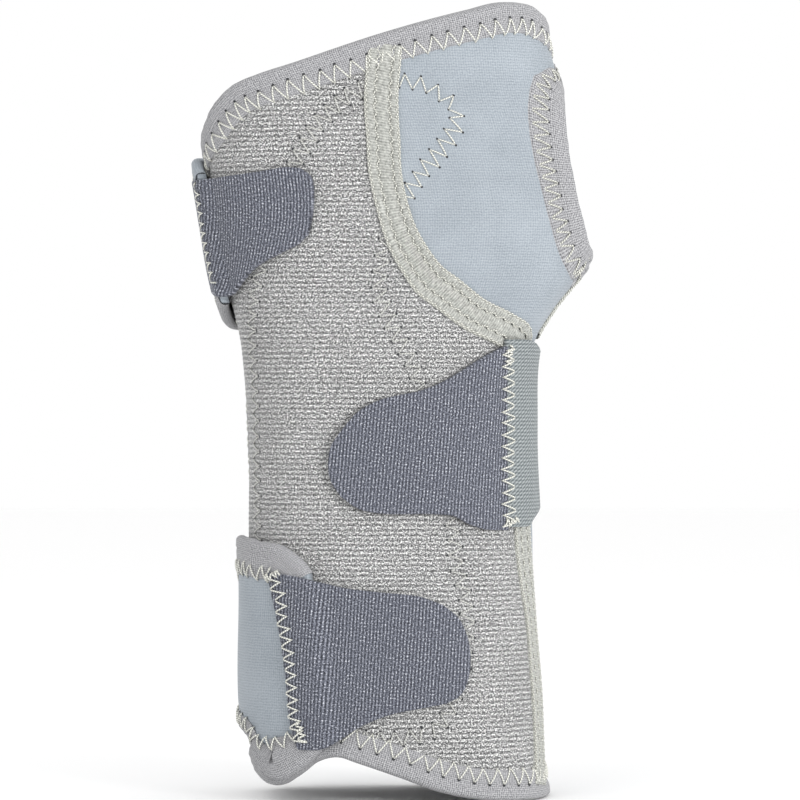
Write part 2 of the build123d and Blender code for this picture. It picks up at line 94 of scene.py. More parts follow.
THUMB_LIP_BACK = [(49.9, 137), (48.6, 141.5), (46.5, 149.6), (44.6, 158), (43.2, 166), (42.6, 173),
                  (42.3, 179), (42.5, 182)]
THUMB_LIP_PALM = [(39.3, 174), (40.5, 167.5), (42.1, 159.8), (44.1, 149.6), (45.9, 142)]

STAY_POCKET = [(9.3, 18.1), (14.8, 25), (18.3, 40), (18.3, 50.1), (16.2, 59), (14.9, 70.5), (10, 92),
               (4.2, 111.4), (-0.6, 120.3), (-3.4, 129.8), (-2.2, 140.8), (1.5, 149), (4.7, 154.8),
               (8, 159.4), (12.5, 164.5), (15.4, 169.6), (15.9, 174), (12, 178), (4.2, 181.2), (-4, 181),
               (-12.4, 176.6), (-18.5, 171), (-23.1, 163.8), (-30, 148), (-34.6, 130), (-35.2, 100),
               (-34.6, 75), (-32.5, 45), (-26, 24), (-10, 17)]
HAND_TAB = [[(-50, 157.6), (-34.1, 158.7), (-27.7, 159.7), (-24, 159.5)],
            [(-24, 159.5), (-21.3, 157.6), (-20.4, 154.8), (-20.6, 148.4), (-21.6, 143.0)],
            [(-43.9, 126.6), (-41.3, 128.2), (-38.6, 131.4), (-35.4, 134.6), (-29, 138), (-24.6, 140.2),
             (-21.6, 143.0)]]
WRIST_TAB = [[(-13.6, 91.8), (-8.6, 98.1), (-3.4, 101.2), (6.8, 103.7), (11.9, 105.8), (22.1, 112.2),
              (27.2, 114.9)],
             [(-12.6, 77.2), (-14.9, 81.2), (-15.5, 85.3), (-14.9, 89.4), (-13.6, 91.8)],
             [(-12.6, 77.2), (-8.6, 74.1), (-3.4, 72.8), (9.3, 72.6), (14.4, 72.1), (18.3, 70), (22.1, 68.7),
              (27.2, 68.4)]]
FOREARM_TAB = [[(-31, 57.9), (-23.9, 57.0), (-13.7, 54.4), (-3.4, 53.1), (6.8, 52.0), (12.4, 50.0)],
               [(12.4, 50.0), (16.4, 46.6), (18.6, 42.0), (19.4, 36.8), (18.8, 31.6), (16.8, 27.4),
                (13.2, 25.3)],
               [(-23.6, 13.6), (-17.5, 13.9), (-13.7, 16.1), (-8.6, 19.4), (-0.9, 22.5), (6.8, 24.1),
                (13.2, 25.3)]]
FOREARM_TAB_EDGE = [(-31, 57.9), (-29.7, 50), (-28.2, 40), (-27.2, 30), (-26.3, 20), (-24.6, 14.2)]
THUMB_SEAM_Y = -4.4

# ---- Periods of weaves and stitches ----
KNIT_ROW = 1.27
HOOK_RIB = 0.808
HOOK_PICK = 0.9
ELASTIC_RIB = 0.93
RIM_STITCH = (4.3, 3.5, 7.6)       # pitch, and the two distances from the edge that it swings between
LIP_STITCH = (2.8, 5.0, 9.8)
POCKET_STITCH = (3.8, -1.9, 1.9)
HAND_FLAP_STITCH = (4.3, 2.9, 6.3)
TAB_PITCH = 2.9
FLAP_PITCH = 3.6

# ---- Straps: distances of a flap's two faces from the sleeve, and the width of its tape ----
HAND_FLAP = (1.3, 3.6)
HAND_FLAP_TAPE = 5.5
FOREARM_FLAP = (0.8, 2.9)
FOREARM_FLAP_TAPE = 8.6
FOREARM_LIFT = 3.0                 # distance out at which the forearm flap's outline is measured
TAB_THICKNESS = 1.1
PANEL_EDGE = 2.0                   # how far inside the sleeve's edge the panels end, under the tape


# ---- Places on the form ----
def hermite(table, x):
    """Values at x on smooth curves through a table whose first column is x."""
    knots, values = table[:, 0], table[:, 1:]
    before = np.maximum(np.arange(len(knots)) - 1, 0)
    after = np.minimum(np.arange(len(knots)) + 1, len(knots) - 1)
    slopes = (values[after] - values[before]) / (knots[after] - knots[before])[:, None]
    x = np.clip(x, knots[0], knots[-1])
    i = np.clip(np.searchsorted(knots, x) - 1, 0, len(knots) - 2)
    width = (knots[i + 1] - knots[i])[..., None]
    t = ((x - knots[i])[..., None]) / width
    return ((2 * t**3 - 3 * t**2 + 1) * values[i] + (t**3 - 2 * t**2 + t) * width * slopes[i]
            + (3 * t**2 - 2 * t**3) * values[i + 1] + (t**3 - t**2) * width * slopes[i + 1])


def measures(z):
    """Centre and half-widths of the cross-section at each height."""
    z = np.asarray(z, float)
    table = hermite(STATIONS, z)
    low, high, hand_back = table[..., 0], table[..., 1], table[..., 2]
    palm_side = PALM_DEPTH - (PALM_RADIUS - np.sqrt(PALM_RADIUS**2 - z**2))
    return (low + high) / 2, (hand_back + palm_side) / 2, (high - low) / 2, (palm_side - hand_back) / 2


def on_section(theta, z, d):
    cx, cy, a, b = measures(z)
    c, s = np.cos(theta), np.sin(theta)
    r = (np.abs(c) ** POWER + np.abs(s) ** POWER) ** (-1 / POWER)
    return np.stack(np.broadcast_arrays(cx + (a + d) * r * c, cy + (b + d) * r * s, z), -1)


ROW_HEIGHTS = np.arange(-4.0, 210.5, 1.0)
ANGLES = np.linspace(-math.pi / 2, 1.5 * math.pi, 1441)
_rings = on_section(ANGLES[None, :], ROW_HEIGHTS[:, None], 0.0)
_steps = np.linalg.norm(np.diff(_rings, axis=1), axis=2)
ALONG = np.concatenate([np.zeros((len(ROW_HEIGHTS), 1)), np.cumsum(_steps, axis=1)], axis=1)
GIRTH = ALONG[:, -1]
TURNS = np.stack([np.interp(np.linspace(0, 1, 1441), row / row[-1], ANGLES) for row in ALONG])


def _rows(z):
    row = np.clip(np.asarray(z, float) - ROW_HEIGHTS[0], 0, len(ROW_HEIGHTS) - 1.001)
    i = row.astype(int)
    return i, row - i


def girth(z):
    i, f = _rows(z)
    return GIRTH[i] * (1 - f) + GIRTH[i + 1] * f


def _look_up(table, i, f, column):
    j = np.clip(column.astype(int), 0, table.shape[1] - 2)
    g = column - j
    low = table[i, j] * (1 - g) + table[i, j + 1] * g
    high = table[i + 1, j] * (1 - g) + table[i + 1, j + 1] * g
    return low * (1 - f) + high * f


def angle_at(s, z):
    i, f = _rows(z)
    return _look_up(TURNS, i, f, (np.asarray(s, float) / girth(z) % 1.0) * 1440)


def way_round(theta, z):
    """The way round, from 0 at the middle of the back, for an angle on the section."""
    i, f = _rows(z)
    column = ((np.asarray(theta, float) + math.pi / 2) / (2 * math.pi) % 1.0) * 1440
    return _look_up(ALONG, i, f, column)


def relief(s, z):
    """The soft unevenness of worn foam, in mm."""
    return (0.16 * np.sin(s / 5.1 + z / 23 + 0.7) * np.sin(z / 9.7 + 1.3)
            + 0.22 * np.sin(s / 11.3 - z / 15.0 + 2.1) + 0.20 * np.sin(s / 19.0 + z / 31.0)
            + 0.10 * np.sin(s / 3.9 - z / 6.1))


def place(s, z, d):
    """Points in metres for places on the sleeve in millimetres."""
    s, z, d = np.broadcast_arrays(np.asarray(s, float), np.asarray(z, float), np.asarray(d, float))
    return (on_section(angle_at(s, z), z, d + relief(s, z)) - MIDDLE) * MM


def back(x, z, d=0.0):
    """(s, z) of a point on the back of the hand, seen from there, d above the surface."""
    cx, _, a, _ = measures(z)
    u = float(np.clip((x - cx) / (a + d), -0.9995, 0.9995))
    v = -((1 - abs(u) ** POWER) ** (1 / POWER))
    s = float(way_round(math.atan2(v, u), z))
    full = float(girth(z))
    return (s - full if s > full / 2 else s, z)


def palm(x, z):
    """(s, z) of a point on the palm side."""
    cx, _, a, _ = measures(z)
    u = float(np.clip((x - cx) / a, -0.9995, 0.9995))
    v = (1 - abs(u) ** POWER) ** (1 / POWER)
    return (float(way_round(math.atan2(v, u), z)), z)


def edge_on(y, z, toward):
    """(s, z) of a point on the thumb side (toward 1) or the little-finger side (toward -1)."""
    _, cy, _, b = measures(z)
    v = float(np.clip((y - cy) / b, -0.9995, 0.9995))
    u = toward * (1 - abs(v) ** POWER) ** (1 / POWER)
    s = float(way_round(math.atan2(v, u), z))
    return (s if toward > 0 else s - float(girth(z)), z)


def thumb(y, z):
    return edge_on(y, z, 1)


def little(y, z):
    return edge_on(y, z, -1)


def once_round(point):
    """The same place, reached the other way round, over the palm."""
    return (point[0] + float(girth(point[1])), point[1])


def each(where, points, *d):
    """The (s, z) of several points, by one of the functions above."""
    return [where(*point, *d) for point in points]


# ---- Curves and grids in (s, z) ----
def curve(points, step=1.0, closed=False, count=None):
    """Evenly spaced points along a smooth curve through the given ones."""
    p = np.array(points, float)
    if closed:
        p = np.concatenate([p[-1:], p, p[:2]])
    else:
        p = np.concatenate([[2 * p[0] - p[1]], p, [2 * p[-1] - p[-2]]])
    fine = []
    t = np.linspace(0, 1, 24, endpoint=False)[:, None]
    for p0, p1, p2, p3 in zip(p, p[1:], p[2:], p[3:]):
        k1, k2, k3 = (max(np.linalg.norm(b - a), 1e-6) ** 0.5 for a, b in ((p0, p1), (p1, p2), (p2, p3)))
        m1 = (p1 - p0) / k1 - (p2 - p0) / (k1 + k2) + (p2 - p1) / k2
        m2 = (p2 - p1) / k2 - (p3 - p1) / (k2 + k3) + (p3 - p2) / k3
        m1, m2 = m1 * k2, m2 * k2
        fine.append((2 * t**3 - 3 * t**2 + 1) * p1 + (t**3 - 2 * t**2 + t) * m1
                    + (3 * t**2 - 2 * t**3) * p2 + (t**3 - t**2) * m2)
    fine = np.concatenate([*fine, p[-2][None]])
    return resample(fine, count, step)


def lengths(points):
    return np.concatenate([[0], np.cumsum(np.linalg.norm(np.diff(points, axis=0), axis=1))])


def edge_length(one, other):
    """The mean length of two facing edges."""
    return (lengths(one)[-1] + lengths(other)[-1]) / 2


def resample(points, count=None, step=1.0):
    along = lengths(points)
    count = count or max(int(round(along[-1] / step)) + 1, 2)
    at = np.linspace(0, along[-1], count)
    return np.stack([np.interp(at, along, points[:, k]) for k in range(points.shape[1])], -1)


def leftward(path, closed=False):
    """Unit vectors to the left of a path, at each of its points."""
    if closed:
        tangent = np.roll(path, -1, 0) - np.roll(path, 1, 0)
    else:
        tangent = np.gradient(path, axis=0)
    tangent = tangent / np.linalg.norm(tangent, axis=1)[:, None]
    return np.stack([-tangent[:, 1], tangent[:, 0]], -1)


def coons(bottom, top, left, right, us, vs):
    """A grid of (s, z) filled between four curves that meet at their ends."""
    def at(points, t):
        along = lengths(points)
        return np.stack([np.interp(t * along[-1], along, points[:, k]) for k in (0, 1)], -1)

    u, v = us[None, :, None], vs[:, None, None]
    b, t = at(bottom, us)[None], at(top, us)[None]
    lft, rgt = at(left, vs)[:, None], at(right, vs)[:, None]
    corners = ((1 - u) * (1 - v) * bottom[0] + u * (1 - v) * bottom[-1]
               + (1 - u) * v * top[0] + u * v * top[-1])
    return (1 - v) * b + v * t + (1 - u) * lft + u * rgt - corners


def spread(length, step, rim=0.0):
    """Fractions from 0 to 1 about a step apart, closer together within rim of both ends."""
    count = max(int(length / step), 4)
    inner = np.linspace(0, 1, count + 1)
    if not rim:
        return inner
    close = np.array([0, 0.06, 0.2, 0.45, 0.75]) * rim / length
    inner = inner[(inner > rim / length) & (inner < 1 - rim / length)]
    return np.concatenate([close, inner, 1 - close[::-1]])


# ---- Meshes ----
def grid_quads(rows, cols, start=0, flip=False, wrap=False):
    i = np.arange(rows - 1)[:, None]
    j = np.arange(cols if wrap else cols - 1)[None, :]
    nxt = (j + 1) % cols
    quads = np.stack([i * cols + j, i * cols + nxt, (i + 1) * cols + nxt, (i + 1) * cols + j], -1)
    quads = quads.reshape(-1, 4) + start
    return quads[:, ::-1] if flip else quads


def build(name, points, faces, material, uv=None, smooth=True):
    """A mesh object from arrays; uv is in metres, one pair for each vertex."""
    mesh = bpy.data.meshes.new(name)
    points = np.asarray(points, float).reshape(-1, 3)
    mesh.from_pydata(points.tolist(), [], [list(map(int, f)) for f in faces])
    if uv is not None:
        layer = mesh.uv_layers.new(name="weave")
        corner = np.empty(len(mesh.loops), np.int64)
        mesh.loops.foreach_get("vertex_index", corner)
        layer.data.foreach_set("uv", np.asarray(uv, np.float32).reshape(-1, 2)[corner].ravel())
    mesh.polygons.foreach_set("use_smooth", [smooth] * len(mesh.polygons))
    mesh.update()
    piece = bpy.data.objects.new(name, mesh)
    bpy.context.scene.collection.objects.link(piece)
    for one in material if isinstance(material, (list, tuple)) else [material]:
        mesh.materials.append(one)
    return piece


def closed_faces(rows, cols):
    """Faces of two equal grids, one after the other in the points, joined round their edge."""
    half = rows * cols
    ring = np.concatenate([np.arange(cols), np.arange(1, rows) * cols + cols - 1,
                           (rows - 1) * cols + np.arange(cols - 2, -1, -1),
                           np.arange(rows - 2, 0, -1) * cols])
    nxt = np.roll(ring, -1)
    return np.concatenate([grid_quads(rows, cols), grid_quads(rows, cols, half, flip=True),
                           np.stack([ring, ring + half, nxt + half, nxt], -1)])


def slab(name, grid, outer, thickness, material, inner_material=None):
    """A closed sheet: an outer face at distance outer over an (s, z) grid, and an inner face below it."""
    rows, cols = grid.shape[:2]
    outside = place(grid[..., 0], grid[..., 1], outer)
    inside = place(grid[..., 0], grid[..., 1], outer - thickness)
    piece = build(name, np.stack([outside, inside]), closed_faces(rows, cols),
                  [material, inner_material or material], np.stack([grid, grid]) * MM)
    if inner_material:
        index = np.zeros(len(piece.data.polygons), np.int32)
        index[(rows - 1) * (cols - 1):2 * (rows - 1) * (cols - 1)] = 1
        piece.data.polygons.foreach_set("material_index", index)
    return piece


def sweep(name, path, profile, material, closed=False, lift=None, narrow=None):
    """A profile of (w, d), w to the left of the path, carried along it from w's far side to the near.
    It narrows by a factor at each point of the path, if any are given."""
    normals = leftward(path, closed)
    profile = np.asarray(profile, float)
    w = profile[None, :, :1] * (np.ones(len(path)) if narrow is None else narrow)[:, None, None]
    across = path[:, None, :] + normals[:, None, :] * w
    d = np.broadcast_to(profile[None, :, 1], across.shape[:2])
    if lift is not None:
        d = d + lift(across[..., 0], across[..., 1])
    points = place(across[..., 0], across[..., 1], d)
    rows, cols = d.shape
    along = lengths(path)
    around = lengths(profile)
    uv = np.stack(np.broadcast_arrays(along[:, None], around[None, :]), -1) * MM
    if closed:
        points = np.concatenate([points, points[:1]])
        uv = np.concatenate([uv, uv[:1] + [[along[-1] * MM, 0]]])
        rows += 1
    return build(name, points, grid_quads(rows, cols), material, uv)


def tubes(name, lines, radius, material, sides=6):
    """Round threads, their radius in mm, along lines of points in metres."""
    radius *= MM
    all_points, all_faces, all_uv, start = [], [], [], 0
    turn = np.linspace(0, 2 * math.pi, sides, endpoint=False)
    for line in lines:
        line = np.asarray(line)
        tangent = np.gradient(line, axis=0)
        tangent /= np.maximum(np.linalg.norm(tangent, axis=1)[:, None], 1e-12)
        out = outward(line)
        side = np.cross(tangent, out)
        side /= np.maximum(np.linalg.norm(side, axis=1)[:, None], 1e-12)
        up = np.cross(side, tangent)
        rings = (line[:, None, :] + radius * (np.cos(turn)[None, :, None] * side[:, None, :]
                                              + np.sin(turn)[None, :, None] * up[:, None, :]))
        rows = len(line)
        all_points.append(rings.reshape(-1, 3))
        all_faces.append(grid_quads(rows, sides, start, wrap=True))
        along = lengths(line)
        uv = np.stack(np.broadcast_arrays(along[:, None], turn[None, :] * radius), -1)
        all_uv.append(uv.reshape(-1, 2))
        start += rows * sides
    return build(name, np.concatenate(all_points), np.concatenate(all_faces), material,
                 np.concatenate(all_uv))


def outward(points):
    """Unit vectors away from the sleeve's middle line."""
    points = points / MM + MIDDLE
    cx, cy, a, b = measures(points[:, 2])
    x, y = points[:, 0] - cx, points[:, 1] - cy
    out = np.stack([np.sign(x) * np.abs(x / a) ** (POWER - 1) / a,
                    np.sign(y) * np.abs(y / b) ** (POWER - 1) / b, np.zeros(len(x))], -1)
    return out / np.maximum(np.linalg.norm(out, axis=1)[:, None], 1e-12)


# ---- Materials ----
class Nodes:
    """A short way to write a material's node tree."""

    def __init__(self, name, roughness, sheen=0.0, specular=0.3):
        self.material = bpy.data.materials.new(name)
        self.material.use_nodes = True
        self.tree = self.material.node_tree
        self.shader = self.tree.nodes["Principled BSDF"]
        self.shader.inputs["Roughness"].default_value = roughness
        self.shader.inputs["Sheen Weight"].default_value = sheen
        self.shader.inputs["Sheen Roughness"].default_value = 0.6
        self.shader.inputs["Specular IOR Level"].default_value = specular

    def add(self, kind, links=(), **values):
        node = self.tree.nodes.new(kind)
        for key, value in values.items():
            if hasattr(node, key):
                setattr(node, key, value)
            else:
                node.inputs[key.replace("_", " ")].default_value = value
        for source, socket in links:
            self.tree.links.new(source, node.inputs[socket])
        return node

    def weave(self, across, along, turn=0.0):
        """Weave coordinates in threads: across and along per metre of the uv map."""
        coordinates = self.add("ShaderNodeTexCoord")
        mapping = self.add("ShaderNodeMapping", [(coordinates.outputs["UV"], "Vector")])
        mapping.inputs["Scale"].default_value = (across, along, 1)
        mapping.inputs["Rotation"].default_value = (0, 0, turn)
        return mapping.outputs["Vector"]

    def noise(self, vector, scale, detail=2.0, rough=0.6):
        return self.add("ShaderNodeTexNoise", [(vector, "Vector")], Scale=scale, Detail=detail,
                        Roughness=rough).outputs["Fac"]

    def wave(self, vector, period, distortion=0.0, direction="X"):
        """Bands with a period in mm."""
        node = self.add("ShaderNodeTexWave", [(vector, "Vector")], Scale=math.pi / 10 / (period * MM),
                        Distortion=distortion)
        node.bands_direction = direction
        return node.outputs["Fac"]

    def ramp(self, factor, stops):
        node = self.add("ShaderNodeValToRGB", [(factor, "Fac")])
        elements = node.color_ramp.elements
        while len(elements) < len(stops):
            elements.new(0.5)
        for element, (place_at, color) in zip(elements, stops):
            element.position = place_at
            element.color = (*linear(color), 1)
        return node.outputs["Color"]

    def mix(self, factor, one, two, blend="MIX"):
        node = self.add("ShaderNodeMix", data_type="RGBA", blend_type=blend)
        for value, socket in ((factor, 0), (one, 6), (two, 7)):
            if isinstance(value, (int, float)):
                node.inputs[socket].default_value = value
            elif isinstance(value, tuple):
                node.inputs[socket].default_value = (*linear(value), 1)
            else:
                self.tree.links.new(value, node.inputs[socket])
        return node.outputs[2]

    def math(self, operation, one, two=0.5):
        node = self.add("ShaderNodeMath", operation=operation)
        for value, socket in ((one, 0), (two, 1)):
            if isinstance(value, (int, float)):
                node.inputs[socket].default_value = value
            else:
                self.tree.links.new(value, node.inputs[socket])
        return node.outputs[0]

    def total(self, first, *others):
        """The weighted sum of some (value, weight) pairs."""
        result = self.math("MULTIPLY", *first)
        for pair in others:
            result = self.math("ADD", result, self.math("MULTIPLY", *pair))
        return result

    def finish_plain(self, color):
        self.shader.inputs["Base Color"].default_value = (*linear(color), 1)
        return self.material

    def finish(self, color, height=None, depth=0.0001, strength=1.0):
        self.tree.links.new(color, self.shader.inputs["Base Color"])
        if height is not None:
            bump = self.add("ShaderNodeBump", [(height, "Height")], Strength=strength, Distance=depth)
            self.tree.links.new(bump.outputs["Normal"], self.shader.inputs["Normal"])
        return self.material


def linear(color):
    return tuple((c / 255 / 12.92) if c <= 10 else ((c / 255 + 0.055) / 1.055) ** 2.4 for c in color)


def knit_material():
    """Heather loops in crosswise rows: light and dark fibres mixed, with painted shade darkening the grooves
    between the rows.
    """
    n = Nodes("heather_loop_knit", 0.8, sheen=0.2, specular=0.25)
    fine = n.noise(n.weave(2300, 2700), 1.0, 2.0, 0.85)
    dash = n.noise(n.weave(800, 2100), 1.0, 1.0, 0.5)
    cloud = n.noise(n.weave(70, 110), 1.0, 2.0)
    rows = n.wave(n.weave(1, 1), KNIT_ROW, 1.6, "Y")
    # This sum sets both the colour and the bump: the fibres' light and dark speckle is their own colour, and
    # the darker grooves and low places are painted shade.
    loops = n.total((fine, 0.82), (dash, 0.12), (rows, 0.06))
    color = n.ramp(loops, [(0.40, (18, 18, 19)), (0.46, (84, 84, 85)), (0.51, (134, 134, 134)),
                           (0.56, (186, 186, 185)), (0.61, (255, 255, 253))])
    color = n.mix(0.12, color, n.ramp(cloud, [(0.35, (116, 116, 116)), (0.65, (168, 168, 169))]))
    return n.finish(color, loops, 0.0003, 0.7)


def neoprene_material(name="smooth_jersey", light=(162, 169, 176), dark=(124, 132, 139)):
    """Close jersey over foam: fine wales and courses, barely visible."""
    n = Nodes(name, 0.62, sheen=0.1, specular=0.22)
    weave = n.weave(1, 1)
    wales = n.wave(weave, 0.62, 1.2)
    courses = n.wave(weave, 0.7, 2.4, "Y")
    grain = n.noise(n.weave(2200, 2500), 1.0, 2.0, 0.7)
    cloud = n.noise(n.weave(60, 60), 1.0, 3.0)
    cloth = n.total((wales, 0.12), (courses, 0.14), (grain, 0.74))
    shade = n.total((cloud, 0.25), (cloth, 0.75))
    return n.finish(n.ramp(shade, [(0.34, dark), (0.64, light)]), cloth, 0.00016, 0.7)


def tape_material():
    """Binding tape: a close knit with faint ribs across its length."""
    n = Nodes("binding_tape", 0.78, sheen=0.15, specular=0.2)
    weave = n.weave(1, 1)
    ribs = n.wave(weave, 0.55, 1.2)
    lines = n.wave(weave, 0.5, 1.0, "Y")
    speck = n.noise(n.weave(2400, 2200), 1.0, 2.5, 0.75)
    knit = n.total((ribs, 0.14), (lines, 0.12), (speck, 0.74))
    color = n.ramp(knit, [(0.34, (92, 92, 95)), (0.5, (146, 146, 149)), (0.66, (188, 188, 189))])
    return n.finish(color, knit, 0.0003, 0.8)


def hook_material():
    """Slate hook tape: leaning ribs with light dots on them, painted glints off the hooks."""
    n = Nodes("hook_tape", 0.7, sheen=0.1, specular=0.22)
    weave = n.weave(1, 1, 0.1)
    ribs = n.wave(weave, HOOK_RIB, 1.0)
    picks = n.wave(weave, HOOK_PICK, 2.0, "Y")
    speck = n.noise(n.weave(2700, 2300), 1.0, 2.0, 0.8)
    base = n.total((ribs, 0.17), (speck, 0.83))
    color = n.ramp(base, [(0.36, (34, 36, 44)), (0.47, (74, 77, 87)), (0.57, (106, 109, 120)),
                          (0.68, (150, 153, 164))])
    dots = n.math("ADD", n.math("MULTIPLY", ribs, n.math("MULTIPLY", picks, 0.14)), speck)
    # Painted highlight: light dots on the ribs where the hooks would catch the light.
    painted_glint = n.ramp(dots, [(0.64, (0, 0, 0)), (0.74, (255, 255, 255))])
    color = n.mix(painted_glint, color, (206, 208, 216))
    return n.finish(color, dots, 0.0003, 0.8)


def elastic_material():
    """Elastic: crosswise ribs broken by a fine twill."""
    n = Nodes("ribbed_elastic", 0.72, sheen=0.1, specular=0.22)
    weave = n.weave(1, 1)
    ribs = n.wave(weave, ELASTIC_RIB, 0.6, "Y")
    twill = n.wave(n.weave(1, 1, 0.9), 0.8, 0.8)
    speck = n.noise(n.weave(2000, 2000), 1.0, 2.0, 0.7)
    cloth = n.total((ribs, 0.18), (twill, 0.24), (speck, 0.58))
    color = n.ramp(cloth, [(0.34, (84, 91, 93)), (0.5, (120, 126, 128)), (0.66, (158, 163, 164))])
    return n.finish(color, cloth, 0.0003, 0.8)


def thread_material(name="cream_thread", light=(232, 232, 224), dark=(160, 160, 152)):
    n = Nodes(name, 0.5, sheen=0.1, specular=0.4)
    twist = n.wave(n.weave(1, 1, 0.7), 0.5)
    return n.finish(n.ramp(twist, [(0.15, dark), (0.6, light)]), twist, 0.00008, 0.8)


def cover_material():
    """Covering threads of the flat seam, laid side by side across it."""
    n = Nodes("seam_cover_thread", 0.7, sheen=0.15, specular=0.25)
    strands = n.wave(n.weave(1, 1), 0.7, 1.5)
    speck = n.noise(n.weave(1200, 1200), 1.0, 2.5, 0.65)
    color = n.ramp(n.total((strands, 0.15), (speck, 0.85)),
                   [(0.3, (124, 125, 121)), (0.5, (164, 165, 160)), (0.7, (196, 197, 191))])
    return n.finish(color, strands, 0.0002, 0.8)


def plain_material(name, low, high, scale, roughness, metallic=0.0, depth=0.0001):
    n = Nodes(name, roughness)
    n.shader.inputs["Metallic"].default_value = metallic
    grain = n.noise(n.weave(scale, scale), 1.0, 3.0)
    return n.finish(n.ramp(grain, [(0.3, low), (0.7, high)]), grain, depth, 0.5)


KNIT = knit_material()
NEOPRENE = neoprene_material()
LINING = neoprene_material("inner_jersey", (108, 110, 116), (84, 86, 92))
TAPE_CLOTH = tape_material()
HOOK = hook_material()
ELASTIC = elastic_material()
THREAD = thread_material()
LIP_THREAD = thread_material("lip_thread", (214, 214, 206), (124, 124, 118))
FAINT_THREAD = thread_material("grey_thread", (212, 212, 208), (140, 140, 136))
COVER = cover_material()
# Painted shade: the dark inside the needle holes, put on small caps over the cloth.
HOLE_SHADE = plain_material("needle_hole_shade", (40, 41, 44), (62, 63, 66), 2000, 0.95)
ALUMINIUM = plain_material("rolled_aluminium", (176, 178, 182), (205, 207, 210), 400, 0.38, 1.0, 0.00002)

coarse = 1.0


# ---- Stitches ----
def pulled(s, z, stabs, depth=0.28, reach=1.2):
    """How far the cloth is pulled in at each place by the needle holes near it."""
    sink = np.zeros(np.shape(s))
    for hole_s, hole_z in stabs:
        near = (np.abs(s - hole_s) < 3 * reach) & (np.abs(z - hole_z) < 3 * reach)
        if near.any():
            r2 = (s[near] - hole_s) ** 2 + (z[near] - hole_z) ** 2
            sink[near] = np.minimum(sink[near], -depth * np.exp(-r2 / (2 * reach**2)))
    return sink


def zigzag(path, pitch, low, high, start=0.0, narrow=None):
    """Corners of a zigzag along a path, between two distances to its left."""
    along = lengths(path)
    count = int((along[-1] - start) / (pitch / 2))
    at = start + np.arange(count + 1) * pitch / 2
    normals = leftward(path)
    base = np.stack([np.interp(at, along, path[:, k]) for k in (0, 1)], -1)
    normal = np.stack([np.interp(at, along, normals[:, k]) for k in (0, 1)], -1)
    w = np.where(np.arange(count + 1) % 2 == 0, low, high)
    if narrow is not None:
        w = w * np.interp(at, along, narrow)
    rng = np.random.default_rng(count)
    w = w + rng.normal(0, 0.12, count + 1)
    base = base + rng.normal(0, 0.1, base.shape)
    return base + normal * w[:, None]


def stitched(corners, low, high, radius=0.22, arch=0.22, steps=7):
    """The thread's line in metres. It dives in at each corner and lies arched between them; low and high
    are the cloth's distances from the sleeve's surface at the two rows of corners."""
    lines = []
    t = np.linspace(0, 1, steps)
    dive = np.exp(-(t / 0.1) ** 2) + np.exp(-((1 - t) / 0.1) ** 2)
    for i, (one, two) in enumerate(zip(corners[:-1], corners[1:])):
        s, z = (one[None] * (1 - t)[:, None] + two[None] * t[:, None]).T
        first, second = (low, high) if i % 2 == 0 else (high, low)
        d = first * (1 - t) + second * t + radius * 0.7 - 0.45 * dive + arch * np.sin(math.pi * t)
        lines.append(place(s, z, d)[:-1])
    return np.concatenate(lines)


def hole_shade_dots(name, places, heights, radius=0.42):
    """Small dark caps on the sleeve where a needle went through: painted shade of the needle holes."""
    turn = np.linspace(0, 2 * math.pi, 8, endpoint=False)
    ring = np.stack([np.cos(turn), np.sin(turn)], -1) * radius
    places = np.asarray(places)
    heights = np.broadcast_to(heights, len(places))
    rims = places[:, None] + ring[None]
    inner = places[:, None] + ring[None] * 0.5
    points = np.concatenate([place(rims[..., 0], rims[..., 1], heights[:, None] + 0.03),
                             place(inner[..., 0], inner[..., 1], heights[:, None] + 0.07),
                             place(places[:, :1], places[:, 1:], heights[:, None] + 0.08)], axis=1)
    j = np.arange(8)
    k = (j + 1) % 8
    quads = np.stack([j, k, 8 + k, 8 + j], -1)
    tips = np.stack([8 + j, 8 + k, np.full(8, 16)], -1)
    faces = [face for i in range(len(places)) for face in [*(quads + 17 * i), *(tips + 17 * i)]]
    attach(build(name, points, faces, HOLE_SHADE), "root")


# ---- The bound loop: the sleeve's whole edge, anticlockwise from outside ----
loop_points = [
    *each(little, SLIT_FOOT), *each(back, FOREARM_RIM), thumb(-6, 0.6),
    thumb(8, 0.6), *each(palm, FOREARM_RIM_PALM),
    *[once_round(place_at) for place_at in each(little, SLIT_PALM)], *each(palm, HAND_RIM_PALM),
    *each(thumb, HAND_RIM_SIDE), back(34.6, 200.6),
    *each(back, HAND_RIM[-2::-1]), back(-47.4, 171.8),
    *each(little, SLIT_BACK),
]
loop = curve(loop_points, 0.8 * coarse, closed=True)[:-1]


def room_inside(path, reach):
    """How much of reach fits to the left of each point of a closed path without folding at its corners."""
    span = 6
    ahead, behind_it = np.roll(path, -span, 0) - path, path - np.roll(path, span, 0)
    turn = np.arctan2(behind_it[:, 0] * ahead[:, 1] - behind_it[:, 1] * ahead[:, 0],
                      (ahead * behind_it).sum(1))
    radius = np.linalg.norm(ahead, axis=1) / np.maximum(turn, 1e-3)
    fits = np.clip(0.75 * radius / reach, 0.3, 1)
    fits = np.min([np.roll(fits, k) for k in range(-5, 6)], axis=0)
    return np.mean([np.roll(fits, k) for k in range(-5, 6)], axis=0)


rim_room = room_inside(loop, RIM_STITCH[2])


def nearest(path, point):
    return int(np.argmin(np.linalg.norm(path - np.asarray(point), axis=1)))


